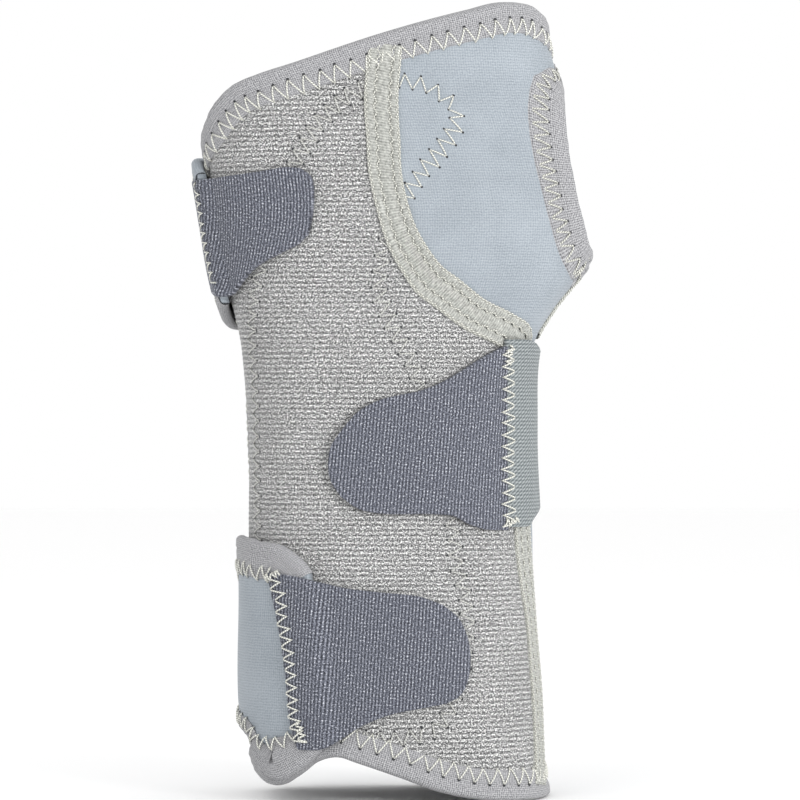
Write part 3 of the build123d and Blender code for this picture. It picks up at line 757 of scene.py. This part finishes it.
main_seam_path = curve(each(back, MAIN_SEAM), 0.8)
panel_edge = loop + leftward(loop, closed=True) * PANEL_EDGE
corner_low_back = nearest(loop, little(*SLIT_FOOT[1]))
corner_low_palm = nearest(loop, once_round(little(*SLIT_PALM[0])))
corner_high_back = nearest(loop, little(-5.5, 166.5))
corner_high_palm = nearest(loop, palm(*HAND_RIM_PALM[0]))
seam_top = nearest(panel_edge, main_seam_path[nearest(main_seam_path, back(-2.2, 189.5))])
seam_bottom = nearest(panel_edge, back(36.5, 2.4))
thumb_seam_top = nearest(panel_edge, thumb(THUMB_SEAM_Y, 191))


def between(path, first, last):
    """The stretch of a closed path from one index to another, in the path's direction."""
    if last < first:
        return np.concatenate([path[first:], path[:last + 1]])
    return path[first:last + 1]


# ---- Panels ----
def panel(name, bottom, top, left, right, steps, material, stabs=(), ribs=None):
    """Foam with a cloth face and a dark inner face, between four edges given as (s, z) paths."""
    grid = coons(bottom, top, left, right, spread(edge_length(bottom, top), steps[0] * coarse),
                 spread(edge_length(left, right), steps[1] * coarse))
    s, z = grid[..., 0], grid[..., 1]
    outer = pulled(s, z, stabs)
    if ribs:
        outer = outer + ribs(s, z)
    piece = slab(name, grid, outer, WALL, material, LINING)
    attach(piece, "root")
    return piece


pocket = curve(each(back, STAY_POCKET), 0.8, closed=True)[:-1]
pocket_corners = zigzag(np.concatenate([pocket, pocket[:1]]), *POCKET_STITCH)
rim_corners = zigzag(np.concatenate([loop, loop[:1]]), *RIM_STITCH, narrow=np.append(rim_room, rim_room[0]))

split = curve([thumb(THUMB_SEAM_Y, z) for z in (116.6, 120, 124, 128, 131)], 0.8)
hole_path = curve([*each(back, THUMB_LIP_BACK), thumb(-8.5, 183), thumb(-2, 180.5),
                   *each(palm, THUMB_LIP_PALM), thumb(4.5, 137.5),
                   thumb(-2.5, 134.5), thumb(-9, 134)], 0.7 * coarse, closed=True)[:-1]
hole_at = lengths(hole_path)
lip_stops = [0, *(hole_at[nearest(hole_path, point)] for point in
                  (back(42.4, 177), thumb(-8.5, 183), thumb(4.5, 137.5), thumb(-9, 134))), hole_at[-1]]
hole_edge = hole_path + leftward(hole_path, closed=True) * 1.2
hole_top = nearest(hole_edge, thumb(THUMB_SEAM_Y, 184))
hole_bottom = nearest(hole_edge, thumb(THUMB_SEAM_Y, 130.5))
lip_back = between(hole_edge, hole_bottom, hole_top)
lip_palm = between(hole_edge, hole_top, hole_bottom)[::-1]

seam_foot = np.array(back(32.5, 115))
point_foot = nearest(main_seam_path, seam_foot)
seam_head = panel_edge[seam_top]
upper_seam = np.concatenate([[main_seam_path[point_foot]],
                             main_seam_path[nearest(main_seam_path, seam_head) + 1:point_foot][::-1],
                             [seam_head]])
seam_end = nearest(main_seam_path, panel_edge[seam_bottom])
lower_seam = np.concatenate([[panel_edge[seam_bottom]], main_seam_path[point_foot:seam_end][::-1]])
thumb_head = panel_edge[thumb_seam_top]
gusset_foot = resample(np.array([lower_seam[-1], thumb(THUMB_SEAM_Y, 116.6)]), step=0.5)
crown = resample(np.array([hole_edge[hole_top], thumb_head]), step=0.5)
to_lip = np.concatenate([split[:-1], [hole_edge[hole_bottom]]])
gusset_side = np.concatenate([to_lip, lip_back[1:], crown[1:]])
palm_side = np.concatenate([lower_seam, gusset_foot[1:], to_lip[1:], lip_palm[1:], crown[1:]])


def loop_rows(s, z):
    """Crosswise rows of loops, with their unevenness."""
    row = z + 0.5 * np.sin(s / 9.0) + 0.25 * np.sin(s / 2.3 + z / 3.1)
    return (0.025 * np.sin(2 * math.pi * row / KNIT_ROW)
            + 0.02 * np.sin(2 * math.pi * s / 1.1 + 3 * np.sin(z * 1.7)))


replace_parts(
    panel("loop_knit_panel",
          between(panel_edge, corner_low_back, seam_bottom),
          between(panel_edge, seam_top, corner_high_back)[::-1],
          between(panel_edge, corner_high_back, corner_low_back)[::-1],
          np.concatenate([lower_seam, upper_seam[1:]]), (0.5, 0.42), KNIT,
          np.concatenate([pocket_corners, rim_corners[1::2]]), loop_rows), "loop_panel")
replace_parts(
    panel("thumb_gusset_panel", gusset_foot, between(panel_edge, thumb_seam_top, seam_top)[::-1],
          upper_seam, gusset_side, (0.8, 0.8), NEOPRENE,
          np.concatenate([pocket_corners, rim_corners[1::2]])), "thumb_gusset")
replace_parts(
    panel("palm_foam_panel",
          between(panel_edge, seam_bottom, corner_low_palm),
          between(panel_edge, corner_high_palm, thumb_seam_top)[::-1],
          palm_side, between(panel_edge, corner_low_palm, corner_high_palm), (1.2, 1.0), NEOPRENE,
          rim_corners[1::2]), "palm_panel")


# ---- Tape over the edges ----
def tape_profile(flat, reach, roll, under):
    """From the tape's inner edge over a flat stitched zone and a puffed roll to the inside."""
    turn = np.linspace(0, math.pi, 13)
    centre, half = -WALL / 2, (WALL + 2 * TAPE) / 2 + 0.25
    bulge = np.stack([roll * 0.55 - roll * 0.9 * np.sin(turn) ** 0.8, centre + half * np.cos(turn)], -1)
    return np.concatenate([[(reach + 0.25, -0.15), (reach, 0.22), (reach - 0.25, 0.42), (flat + 1.2, 0.46),
                            (flat + 0.4, 0.38), (flat, 0.34), (flat - 0.5, 0.5), (flat - 1.2, 0.8)],
                           bulge, [(under, centre - half + 0.2), (under + 0.2, -WALL + 0.1)]])


RIM_TAPE = tape_profile(3.5, 7.0, 1.7, 6.2)


def bound(name, node, first, last, corners):
    """Tape over a stretch of the sleeve's edge, with what its stitches pull in."""
    path = between(loop, first, last)
    room = between(rim_room, first, last)
    path = np.concatenate([path[:1] - (path[1:2] - path[:1]) * 0.3, path])
    piece = sweep(name, path, RIM_TAPE, TAPE_CLOTH, narrow=np.append(room[0], room),
                  lift=lambda s, z: pulled(s, z, corners, 0.22, 0.8) + tape_ripple(s, z))
    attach(piece, "root")
    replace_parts(piece, node)


def tape_ripple(s, z):
    return 0.05 * np.sin(s * 1.5 + 0.6 * z) + 0.04 * np.sin(z * 1.9 - s)


bound("forearm_tape", "forearm_binding", corner_low_back, corner_low_palm, rim_corners[::2])
bound("palm_slit_tape", "palm_slit_binding", corner_low_palm, corner_high_palm, rim_corners[::2])
bound("hand_tape", "hand_binding", corner_high_palm, corner_high_back, rim_corners[::2])
bound("back_slit_tape", "back_slit_binding", corner_high_back, corner_low_back, rim_corners[::2])

LIP_TAPE = tape_profile(5.2, 10.0, 1.2, 6.0)
hole_closed = np.concatenate([hole_path, hole_path[:1]])
on_back = np.interp(lengths(hole_path), lip_stops, [0.8, 1, 0.4, 0.4, 0.4, 0.4])
lip_corners = zigzag(hole_closed, *LIP_STITCH, narrow=np.append(on_back, on_back[0]))
lip = sweep("thumb_tape", hole_path, LIP_TAPE, TAPE_CLOTH, closed=True, narrow=on_back,
            lift=lambda s, z: pulled(s, z, lip_corners[::2], 0.25, 0.8) + tape_ripple(s, z))
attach(lip, "root")
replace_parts(lip, "thumb_binding")


def thread(name, lines, material=None, radius=0.21, body="root", sides=6):
    piece = tubes(name, lines, radius, material or THREAD, sides)
    if body:
        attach(piece, body)
    return piece


thread("rim_zigzag", [stitched(rim_corners, 0.38, 0.1)])
thread("thumb_zigzag", [stitched(lip_corners, 0.4, 0.1)], LIP_THREAD, 0.25)
seam_at = np.interp(pocket_corners[:, 1], main_seam_path[::-1, 1], main_seam_path[::-1, 0])
on_gusset = (pocket_corners[:, 0] > seam_at) & (pocket_corners[:, 1] > 120)
runs = np.split(np.arange(len(pocket_corners)), np.flatnonzero(np.diff(on_gusset)) + 1)
for white in (True, False):
    lines = [stitched(pocket_corners[run], -0.22, -0.22, arch=0.26)
             for run in runs if len(run) > 1 and on_gusset[run[0]] == white]
    thread("pocket_zigzag_gusset" if white else "pocket_zigzag_knit", lines,
           THREAD if white else FAINT_THREAD, 0.19)
# Painted shade in the needle holes of the rim, thumb and pocket stitches.
hole_shade_dots("rim_hole_shade", rim_corners[::2], 0.32)
hole_shade_dots("thumb_hole_shade", lip_corners[::2], 0.3, 0.36)
hole_shade_dots("pocket_hole_shade", pocket_corners, -0.26, 0.36)


# ---- Flat seams ----
def flat_seam(name, node, path, ropes, hole_rows, margin=0.35):
    """A flat strip of covering thread: puffs between columns of twisted thread."""
    edge = [ropes[0] - margin, *ropes[1:-1], ropes[-1] + margin]
    profile = [(edge[-1] + 0.15, -0.2)]
    for high, low in zip(edge[:0:-1], edge[-2::-1]):
        for t in np.linspace(0, 1, 9)[:-1]:
            profile.append((high + (low - high) * t, 0.12 + 0.62 * math.sin(math.pi * t) ** 0.6))
    profile += [(edge[0], 0.18), (edge[0] - 0.15, -0.2)]
    fine = resample(path, step=0.18 * coarse)
    start = fine[0]

    def strands(s, z):
        along = np.hypot(s - start[0], z - start[1])
        row = np.arange(s.shape[0])[:, None] * 0.18 * coarse
        return 0.02 * np.sin(2 * math.pi * row / 0.72 + 0.4 * np.sin(along))

    strip = sweep(name, fine, profile, COVER, lift=strands)
    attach(strip, "root")
    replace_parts(strip, node)
    normals = leftward(fine)
    along = lengths(fine)
    lines = []
    for w in ropes:
        for phase in (0, math.pi):
            if phase and w in hole_rows:
                continue
            a = 2 * math.pi * along / 3.0 + phase
            sway = 0.34 if w in hole_rows else 0.26
            place_at = fine + normals * (w + sway * np.cos(a))[:, None]
            lines.append(place(place_at[:, 0], place_at[:, 1], 0.44 + 0.2 * np.sin(a))[::2])
    thread(name + "_ropes", lines, LIP_THREAD, 0.25, sides=5)
    holes = []
    for w in hole_rows:
        at = np.arange(0.75, along[-1], 1.5)
        base = np.stack([np.interp(at, along, fine[:, k]) for k in (0, 1)], -1)
        side = np.stack([np.interp(at, along, normals[:, k]) for k in (0, 1)], -1)
        holes.append(base + side * w)
    # Painted shade in the seam's needle holes.
    hole_shade_dots(name + "_hole_shade", np.concatenate(holes), 0.2)


seam_line = main_seam_path[nearest(main_seam_path, seam_head):seam_end]
flat_seam("main_flat_seam", "main_seam", seam_line, (-3.75, -1.6, 1.95, 3.7), (-1.6, 1.95))
split_line = resample(np.array([thumb(THUMB_SEAM_Y, z) for z in (117.5, 120, 123, 126, 129.6)]), step=0.4)
flat_seam("thumb_flat_seam", "thumb_side_seam", split_line, (-1.9, 0.0, 1.9), (0.0,))


# ---- Straps ----
def behind(x, z):
    """A point on the palm side, reached round the little-finger side."""
    s, _ = palm(x, z)
    return (s - float(girth(z)), z)


def step_down(gap, high, low, reach=3.0):
    """From high, before a line, to low, reach past it; gap is the distance beyond the line."""
    t = np.clip(gap / reach, 0, 1)
    return high + (low - high) * t * t * (3 - 2 * t)


def from_edge(rows, cols):
    """How many steps each point of a grid is from the grid's edge."""
    v = np.minimum(np.arange(rows), np.arange(rows)[::-1])
    u = np.minimum(np.arange(cols), np.arange(cols)[::-1])
    return np.minimum(v[:, None], u[None, :])


def rounded(steps, falls):
    """Falls at the edge and one and two steps from it, and 0 further in."""
    return np.array([*falls, 0])[np.clip(steps, 0, 3)]


def strap_sheet(name, grid, inner, outer, material, inner_material=None, stabs=(), soften=0.35):
    """A strap part with rounded edges, between two distances from the sleeve."""
    steps = from_edge(*grid.shape[:2])
    outer = outer - soften * (outer - inner) * rounded(steps, (1.0, 0.35, 0.08))
    outer = outer + pulled(grid[..., 0], grid[..., 1], stabs, 0.3, 1.0)
    return slab(name, grid, outer, outer - inner, material, inner_material)


def edge_tape(name, path, flat, inner, outer, stabs, material=None, narrow=None):
    """Tape folded over a flap's edge, with w to the left of the path."""
    turn = np.linspace(0, math.pi, 11)
    centre, half = (inner + outer) / 2, (outer - inner) / 2 + 0.35
    bulge = np.stack([0.9 - 1.5 * np.sin(turn) ** 0.8, centre + half * np.cos(turn)], -1)
    profile = np.concatenate([[(flat + 0.15, outer - 0.2), (flat, outer + 0.25), (3.4, outer + 0.4),
                               (2.6, outer + 0.2), (2.0, outer + 0.45)], bulge,
                              [(2.0, inner - 0.3), (flat, inner - 0.2), (flat + 0.1, inner + 0.1)]])
    return sweep(name, path, profile, material or TAPE_CLOTH, narrow=narrow,
                 lift=lambda s, z: pulled(s, z, stabs, 0.25, 0.8) + tape_ripple(s, z))


def hinged(body, start, end, *parts):
    """Bakes these pieces' placement into their meshes; body, start and end (in mm) are not used."""
    for part in parts:
        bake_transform(part)


def sewn_flap(strap, foam, tapes, corners, heights, start, end):
    """A foam flap with its tapes and their zigzags, baked in place."""
    threads = [thread(f"{strap}_strap_zigzag_{k}", [stitched(row, *heights)], body=None)
               for k, row in enumerate(corners)]
    hinged(f"{strap}_strap", start, end, foam, *tapes, *threads)
    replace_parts(foam, f"{strap}_flap", f"{strap}_strap_base")
    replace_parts(tapes[0], f"{strap}_flap_binding")


# Hand strap
hand_front = curve(each(little, [(-8.7, 126.0), (-9.4, 137), (-10.2, 148), (-11.0, 158.5)]), 0.8)
hand_back = curve([behind(-20, z) for z in (119.8, 134, 148, 162.5)], 0.8)
hand_low = curve([hand_back[0], behind(-32, 119.8), little(9, 119.8), little(4, 120.4), little(0, 122.4),
                  little(-4, 124.8), hand_front[0]], 0.8)
hand_high = curve([hand_back[-1], behind(-40, 162.5), little(3, 162.8), little(-5.0, 162),
                   hand_front[-1]], 0.8)
hand_flap_grid = coons(hand_low, hand_high, hand_back, hand_front,
                       spread(48, 1.1 * coarse, 2.0), spread(38, 1.1 * coarse, 2.0))
hand_flap = strap_sheet("hand_strap_foam", hand_flap_grid, *HAND_FLAP, NEOPRENE, LINING)
hand_tapes = [edge_tape("hand_strap_tape_low", hand_low, HAND_FLAP_TAPE, *HAND_FLAP, ()),
              edge_tape("hand_strap_tape_high", hand_high[::-1], HAND_FLAP_TAPE, *HAND_FLAP, (), NEOPRENE)]
hand_flap_corners = [zigzag(path, *HAND_FLAP_STITCH) for path in (hand_low, hand_high[::-1])]
sewn_flap("hand", hand_flap, hand_tapes, hand_flap_corners, (3.9, 3.6), (-46, 7, 141), (-46, -4, 141))


def ribbed(s, z):
    """The hook tape's upright ribs, crossed by finer picks."""
    lean = s - 0.1 * z
    return 0.02 * (np.cos(2 * math.pi * lean / HOOK_RIB)
                   + np.cos(2 * math.pi * z / HOOK_PICK + math.pi * (lean // HOOK_RIB)))


def hook_tab(strap, grid, under, thickness, corners, heights, soften=0.5):
    """A strap's hook tape, at a distance under from the sleeve, and the zigzag that sews it on."""
    s, z = grid[..., 0], grid[..., 1]
    steps = from_edge(*s.shape)
    outer = under + thickness + ribbed(s, z) * np.clip(steps / 3, 0, 1)
    outer = outer - soften * thickness * rounded(steps, (1.0, 0.3, 0.08))
    outer = outer + pulled(s, z, corners, 0.3, 0.9)
    piece = slab(f"{strap}_hook_tape", grid, outer, outer - under, HOOK)
    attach(piece, f"{strap}_strap")
    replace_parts(piece, f"{strap}_hook_tab")
    thread(f"{strap}_tab_zigzag", [stitched(corners, *heights)], body=f"{strap}_strap")


def tab_grid(bottom, top, left, right, step=0.3):
    return coons(bottom, top, left, right, spread(edge_length(bottom, top), step * coarse, 1.0),
                 spread(edge_length(left, right), step * coarse, 1.0))


def outline(points, d=0.0):
    return curve(each(back, points, d), 0.5)


def joined(start, path, end):
    """The path with its ends moved onto two given places."""
    return np.concatenate([[start], path[1:-1], [end]])


# Hand hook tab, sewn along the flap's front edge
tab_left = curve(each(little, [(-3.0, 128.4), (-3.4, 134), (-4.0, 142), (-4.6, 150), (-5.0, 157.0)]), 0.5)
tab_end = outline(HAND_TAB[1], 2.2)[::-1]
tab_top = curve([tab_left[-1], back(-47.6, 157.3, 3.4),
                 *each(back, HAND_TAB[0][1:], 2.2)], 0.5)
tab_bottom = curve([tab_left[0], back(-43.6, 127.6, 4.4), back(-41.0, 129.8, 3.6),
                    *each(back, HAND_TAB[2][2:], 2.4)], 0.5)
tab_top[-1], tab_bottom[-1] = tab_end[-1], tab_end[0]
hand_tab_grid = tab_grid(tab_bottom, tab_top, tab_left, tab_end)
front_at = np.interp(hand_tab_grid[..., 1], hand_front[:, 1], hand_front[:, 0])
hand_tab_corners = zigzag(tab_left, TAB_PITCH, -7.2, -3.2)
hook_tab("hand", hand_tab_grid, step_down(hand_tab_grid[..., 0] - front_at, 3.5, 1.0, 5.0),
         TAB_THICKNESS, hand_tab_corners, (4.6, 4.0))

# Wrist strap
wrist_front = np.array([back(27.2, z) for z in np.linspace(69.2, 116.5, 60)])
wrist_back = np.array([palm(4.0, z) for z in np.linspace(69.2, 116.5, 60)])
wrist_low = curve([wrist_front[0], back(33, 69.4), thumb(-12, 70.6), thumb(-4, 73.2), thumb(6, 73.0),
                   palm(25, 70.0), wrist_back[0]], 0.8)
wrist_high = curve([wrist_front[-1], back(33, 116.4), thumb(-12, 115.8), thumb(-4, 114.0), thumb(6, 114.2),
                    palm(25, 116.0), wrist_back[-1]], 0.8)
elastic_grid = coons(wrist_low, wrist_high, wrist_front, wrist_back, spread(72, 0.5 * coarse, 1.2),
                     spread(47, 0.5 * coarse, 1.2))
wales = 0.03 * np.sin(2 * math.pi * elastic_grid[..., 1] / ELASTIC_RIB)
elastic = strap_sheet("wrist_elastic_band", elastic_grid, 1.0 + wales, 2.3 + wales, ELASTIC, soften=0.5)
hinged("wrist_strap", (36, 8, 93), (36, -3, 93), elastic)
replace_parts(elastic, "wrist_elastic", "wrist_strap_base")

tab_end = outline(WRIST_TAB[1])
tab_right = np.array([back(27.6, z) for z in np.linspace(68.4, 114.9, 80)])
wrist_tab_grid = tab_grid(joined(tab_end[0], outline(WRIST_TAB[2]), tab_right[0]),
                          joined(tab_end[-1], outline(WRIST_TAB[0]), tab_right[-1]), tab_end, tab_right)
wrist_tab_corners = zigzag(tab_right, TAB_PITCH, 1.9, -1.9, start=0.8)
hook_tab("wrist", wrist_tab_grid, 1.0, 1.2, wrist_tab_corners, (2.2, 2.3))

# Forearm strap
forearm_top = [(-36.6, 65.6), (-34.8, 65.0), (-32, 64.7), (-29.1, 64.2), (-25.7, 62.3), (-22.9, 59.7),
               (-21.4, 57.6)]
forearm_bottom = [(-37.4, 15.8), (-36.0, 12.2), (-34.8, 9.8), (-33.4, 7.8), (-31.8, 6.6), (-30.0, 6.3),
                  (-28.0, 6.9), (-23.9, 9.4), (-20.9, 11.9), (-18.5, 14.5), (-17.6, 16.4)]
forearm_sewn = [(-37.0, 18.4), (-35.4, 15.6), (-33.4, 14.6), (-31.0, 14.7), (-28.0, 15.9), (-23.8, 17.4),
                (-19, 20)]
forearm_front = curve(each(back, [(-17.6, 16.4), (-19.5, 36), (-21.4, 57.6)], FOREARM_LIFT), 0.8)
forearm_back = curve([behind(-20, z) for z in (12, 28, 44, 60.3)], 0.8)
forearm_low = curve([forearm_back[0], behind(-30, 13), little(10, 16), little(4, 17.5), little(0, 18.0),
                     *each(back, forearm_bottom, FOREARM_LIFT)], 0.6)
sewn_low = curve([behind(-20, 19), behind(-30, 20), little(10, 21.5), little(4, 21.5), little(0, 21.0),
                  *each(back, forearm_sewn, FOREARM_LIFT)], 0.6)
to_sewn = np.array([np.linalg.norm(sewn_low - point, axis=1).min() for point in forearm_low])
forearm_high = curve([forearm_back[-1], behind(-30, 60.3), little(10, 60.8), little(2, 65.4),
                      *each(back, forearm_top, FOREARM_LIFT)], 0.6)
forearm_grid = coons(forearm_low, forearm_high, forearm_back, forearm_front,
                     spread(62, 0.9 * coarse, 2.0), spread(50, 0.9 * coarse, 2.0))
forearm_corners = [zigzag(sewn_low, FLAP_PITCH, -1.9, 1.7),
                   zigzag(forearm_high[::-1], FLAP_PITCH, 5.2, 9.2)]
below = np.clip((24 - forearm_grid[..., 1]) / 14, 0, 1)
forearm_flap = strap_sheet("forearm_strap_foam", forearm_grid, FOREARM_FLAP[0],
                           FOREARM_FLAP[1] - 0.5 * below, NEOPRENE, LINING, np.concatenate(forearm_corners))
forearm_tapes = [edge_tape("forearm_strap_tape_low", forearm_low, FOREARM_FLAP_TAPE, *FOREARM_FLAP,
                           forearm_corners[0][::2],
                           narrow=np.clip((to_sewn + 1.2) / FOREARM_FLAP_TAPE, 0.3, 1.3)),
                 edge_tape("forearm_strap_tape_high", forearm_high[::-1], FOREARM_FLAP_TAPE, *FOREARM_FLAP,
                           forearm_corners[1][::2])]
sewn_flap("forearm", forearm_flap, forearm_tapes, forearm_corners, (3.3, 3.0), (-38, 7, 35), (-38, -4, 35))

tab_left = outline(FOREARM_TAB_EDGE, 4.0)[::-1]
tab_end = outline(FOREARM_TAB[1], 2.2)[::-1]
forearm_tab_grid = tab_grid(joined(tab_left[0], outline(FOREARM_TAB[2], 2.4), tab_end[0]),
                            joined(tab_left[-1], outline(FOREARM_TAB[0], 2.4), tab_end[-1]),
                            tab_left, tab_end)
front_at = np.interp(forearm_tab_grid[..., 1], forearm_front[:, 1], forearm_front[:, 0])
forearm_tab_corners = zigzag(tab_left, TAB_PITCH, -2.9, 0.3, start=0.6)
hook_tab("forearm", forearm_tab_grid, step_down(forearm_tab_grid[..., 0] - front_at, 2.9, 1.0, 4.5),
         TAB_THICKNESS, forearm_tab_corners, (4.1, 3.9))


def bar_tack(name, centre, toward, height, body, length, turns=7):
    """A short dense zigzag that holds the end of a row of stitches."""
    centre, toward = np.array(centre), np.array(toward, float) / np.hypot(*toward)
    path = centre + toward * np.linspace(-0.5, 0.5, 12)[:, None] * length
    corners = zigzag(path, length / turns * 2, -0.9, 0.9)
    thread(name, [stitched(corners, height, height, 0.24, 0.2, 5)], body=body, radius=0.24)


bar_tack("wrist_tack_high", back(27.6, 112.6), (0.1, 1), 2.4, "wrist_strap", 5)
bar_tack("wrist_tack_low", back(28.2, 70.6), (1, 0.1), 2.4, "wrist_strap", 5)
bar_tack("forearm_tack_high", back(-29.8, 57.2, 4.0), (1, 0.3), 4.1, "forearm_strap", 5)
bar_tack("forearm_tack_low", back(-23.6, 18.6, 4.0), (-0.15, 1), 4.1, "forearm_strap", 6)

# ---- Inside: stay pockets and stays ----
def dome(rows, cols, open_top=False):
    """1 over the middle of a grid, falling to 0 in its outermost rows and columns."""
    v = np.minimum(np.arange(rows), rows if open_top else np.arange(rows)[::-1])
    u = np.minimum(np.arange(cols), np.arange(cols)[::-1])
    rim = np.clip(np.minimum(v[:, None], u[None, :]) / 3, 0, 1)
    return rim * rim * (3 - 2 * rim)


pocket_left = outline(STAY_POCKET[:19:-1])
pocket_right = outline(STAY_POCKET[:18])
pocket_grid = coons(np.stack([pocket_left[0], pocket_right[0]]),
                    curve([pocket_left[-1], back(-4, 181), back(4.2, 181.2), pocket_right[-1]], 0.5),
                    pocket_left, pocket_right, spread(45, 1.2 * coarse, 3.0), spread(165, 1.6 * coarse, 3.0))
bulge = dome(*pocket_grid.shape[:2])
back_pocket = slab("back_stay_pocket", pocket_grid, -WALL, 0.25 + 2.3 * bulge, LINING)
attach(back_pocket, "root")
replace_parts(back_pocket, "back_pocket_lining")

LOW, HIGH = 16.0, 168.0       # the palm pocket's foot and its open top
POUCH_DEPTH = 8.3             # from the sleeve's outside to the pocket's inner face
POUCH_CLOTH = 0.8
rows_at = np.linspace(LOW, HIGH, 90)
half_widths = np.interp(rows_at, [16, 20, 92, 126, 168], [16, 19, 19, 26, 26])
across = np.linspace(-1, 1, 41)
x = half_widths[:, None] * across[None, :]
z = np.broadcast_to(rows_at[:, None], x.shape)
cx, cy, a, b = measures(z)
wall_y = cy + (b - WALL) * (1 - np.clip(np.abs((x - cx) / (a - WALL)), 0, 1) ** POWER) ** (1 / POWER)
flat_y = cy + b - POUCH_DEPTH
lift = dome(*x.shape, open_top=True)
inner_y = wall_y * (1 - lift) + np.minimum(flat_y, wall_y - 0.3) * lift
pouch_points = np.stack([np.stack([x, inner_y, z], -1), np.stack([x, inner_y + POUCH_CLOTH, z], -1)])
pouch = build("palm_stay_pocket", (pouch_points - MIDDLE) * MM, closed_faces(*x.shape), LINING,
              np.stack([np.stack([x, z], -1)] * 2) * MM)
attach(pouch, "root")
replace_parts(pouch, "palm_pocket_lining")

for node in ("palm_stay", "back_stay"):
    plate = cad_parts[node]
    plate.data.materials.clear()
    plate.data.materials.append(ALUMINIUM)

# ---- Floor, light and camera ----
MIDDLE_HEIGHT = 0.1
CAMERA_PLACE = (0.00247, -1.1395, 0.1012)   # in front of the back of the hand, a little above half height
FLOOR = Nodes("pale_floor", 0.9).finish_plain((253, 253, 253))
floor = build("floor", [(-3, -3, 0), (3, -3, 0), (3, 3, 0), (-3, 3, 0)], [(0, 1, 2, 3)], FLOOR)

world = bpy.data.worlds.new("studio")
world.use_nodes = True
world.node_tree.nodes["Background"].inputs["Color"].default_value = (1, 1, 1, 1)
world.node_tree.nodes["Background"].inputs["Strength"].default_value = 1.0
bpy.context.scene.world = world
bpy.context.scene.view_settings.view_transform = "Standard"


def softbox(name, place_at, size, power):
    """An area light aimed at the middle of the splint."""
    data = bpy.data.lights.new(name, "AREA")
    data.size = size
    data.energy = power
    lamp = bpy.data.objects.new(name, data)
    bpy.context.scene.collection.objects.link(lamp)
    lamp.location = place_at
    aim = mathutils.Vector((0, 0, MIDDLE_HEIGHT)) - lamp.location
    lamp.rotation_euler = aim.to_track_quat("-Z", "Y").to_euler()


softbox("key", (0.8, -1.0, 0.2), 0.35, 9.0)
softbox("fill", (-0.6, -0.9, 0.9), 0.6, 2.0)

camera_data = bpy.data.cameras.new("camera")
camera_data.lens = 200
camera_data.sensor_width = 36
camera = bpy.data.objects.new("camera", camera_data)
bpy.context.scene.collection.objects.link(camera)
camera.location = CAMERA_PLACE
camera.rotation_euler = (math.pi / 2, 0, 0)
bpy.context.scene.camera = camera
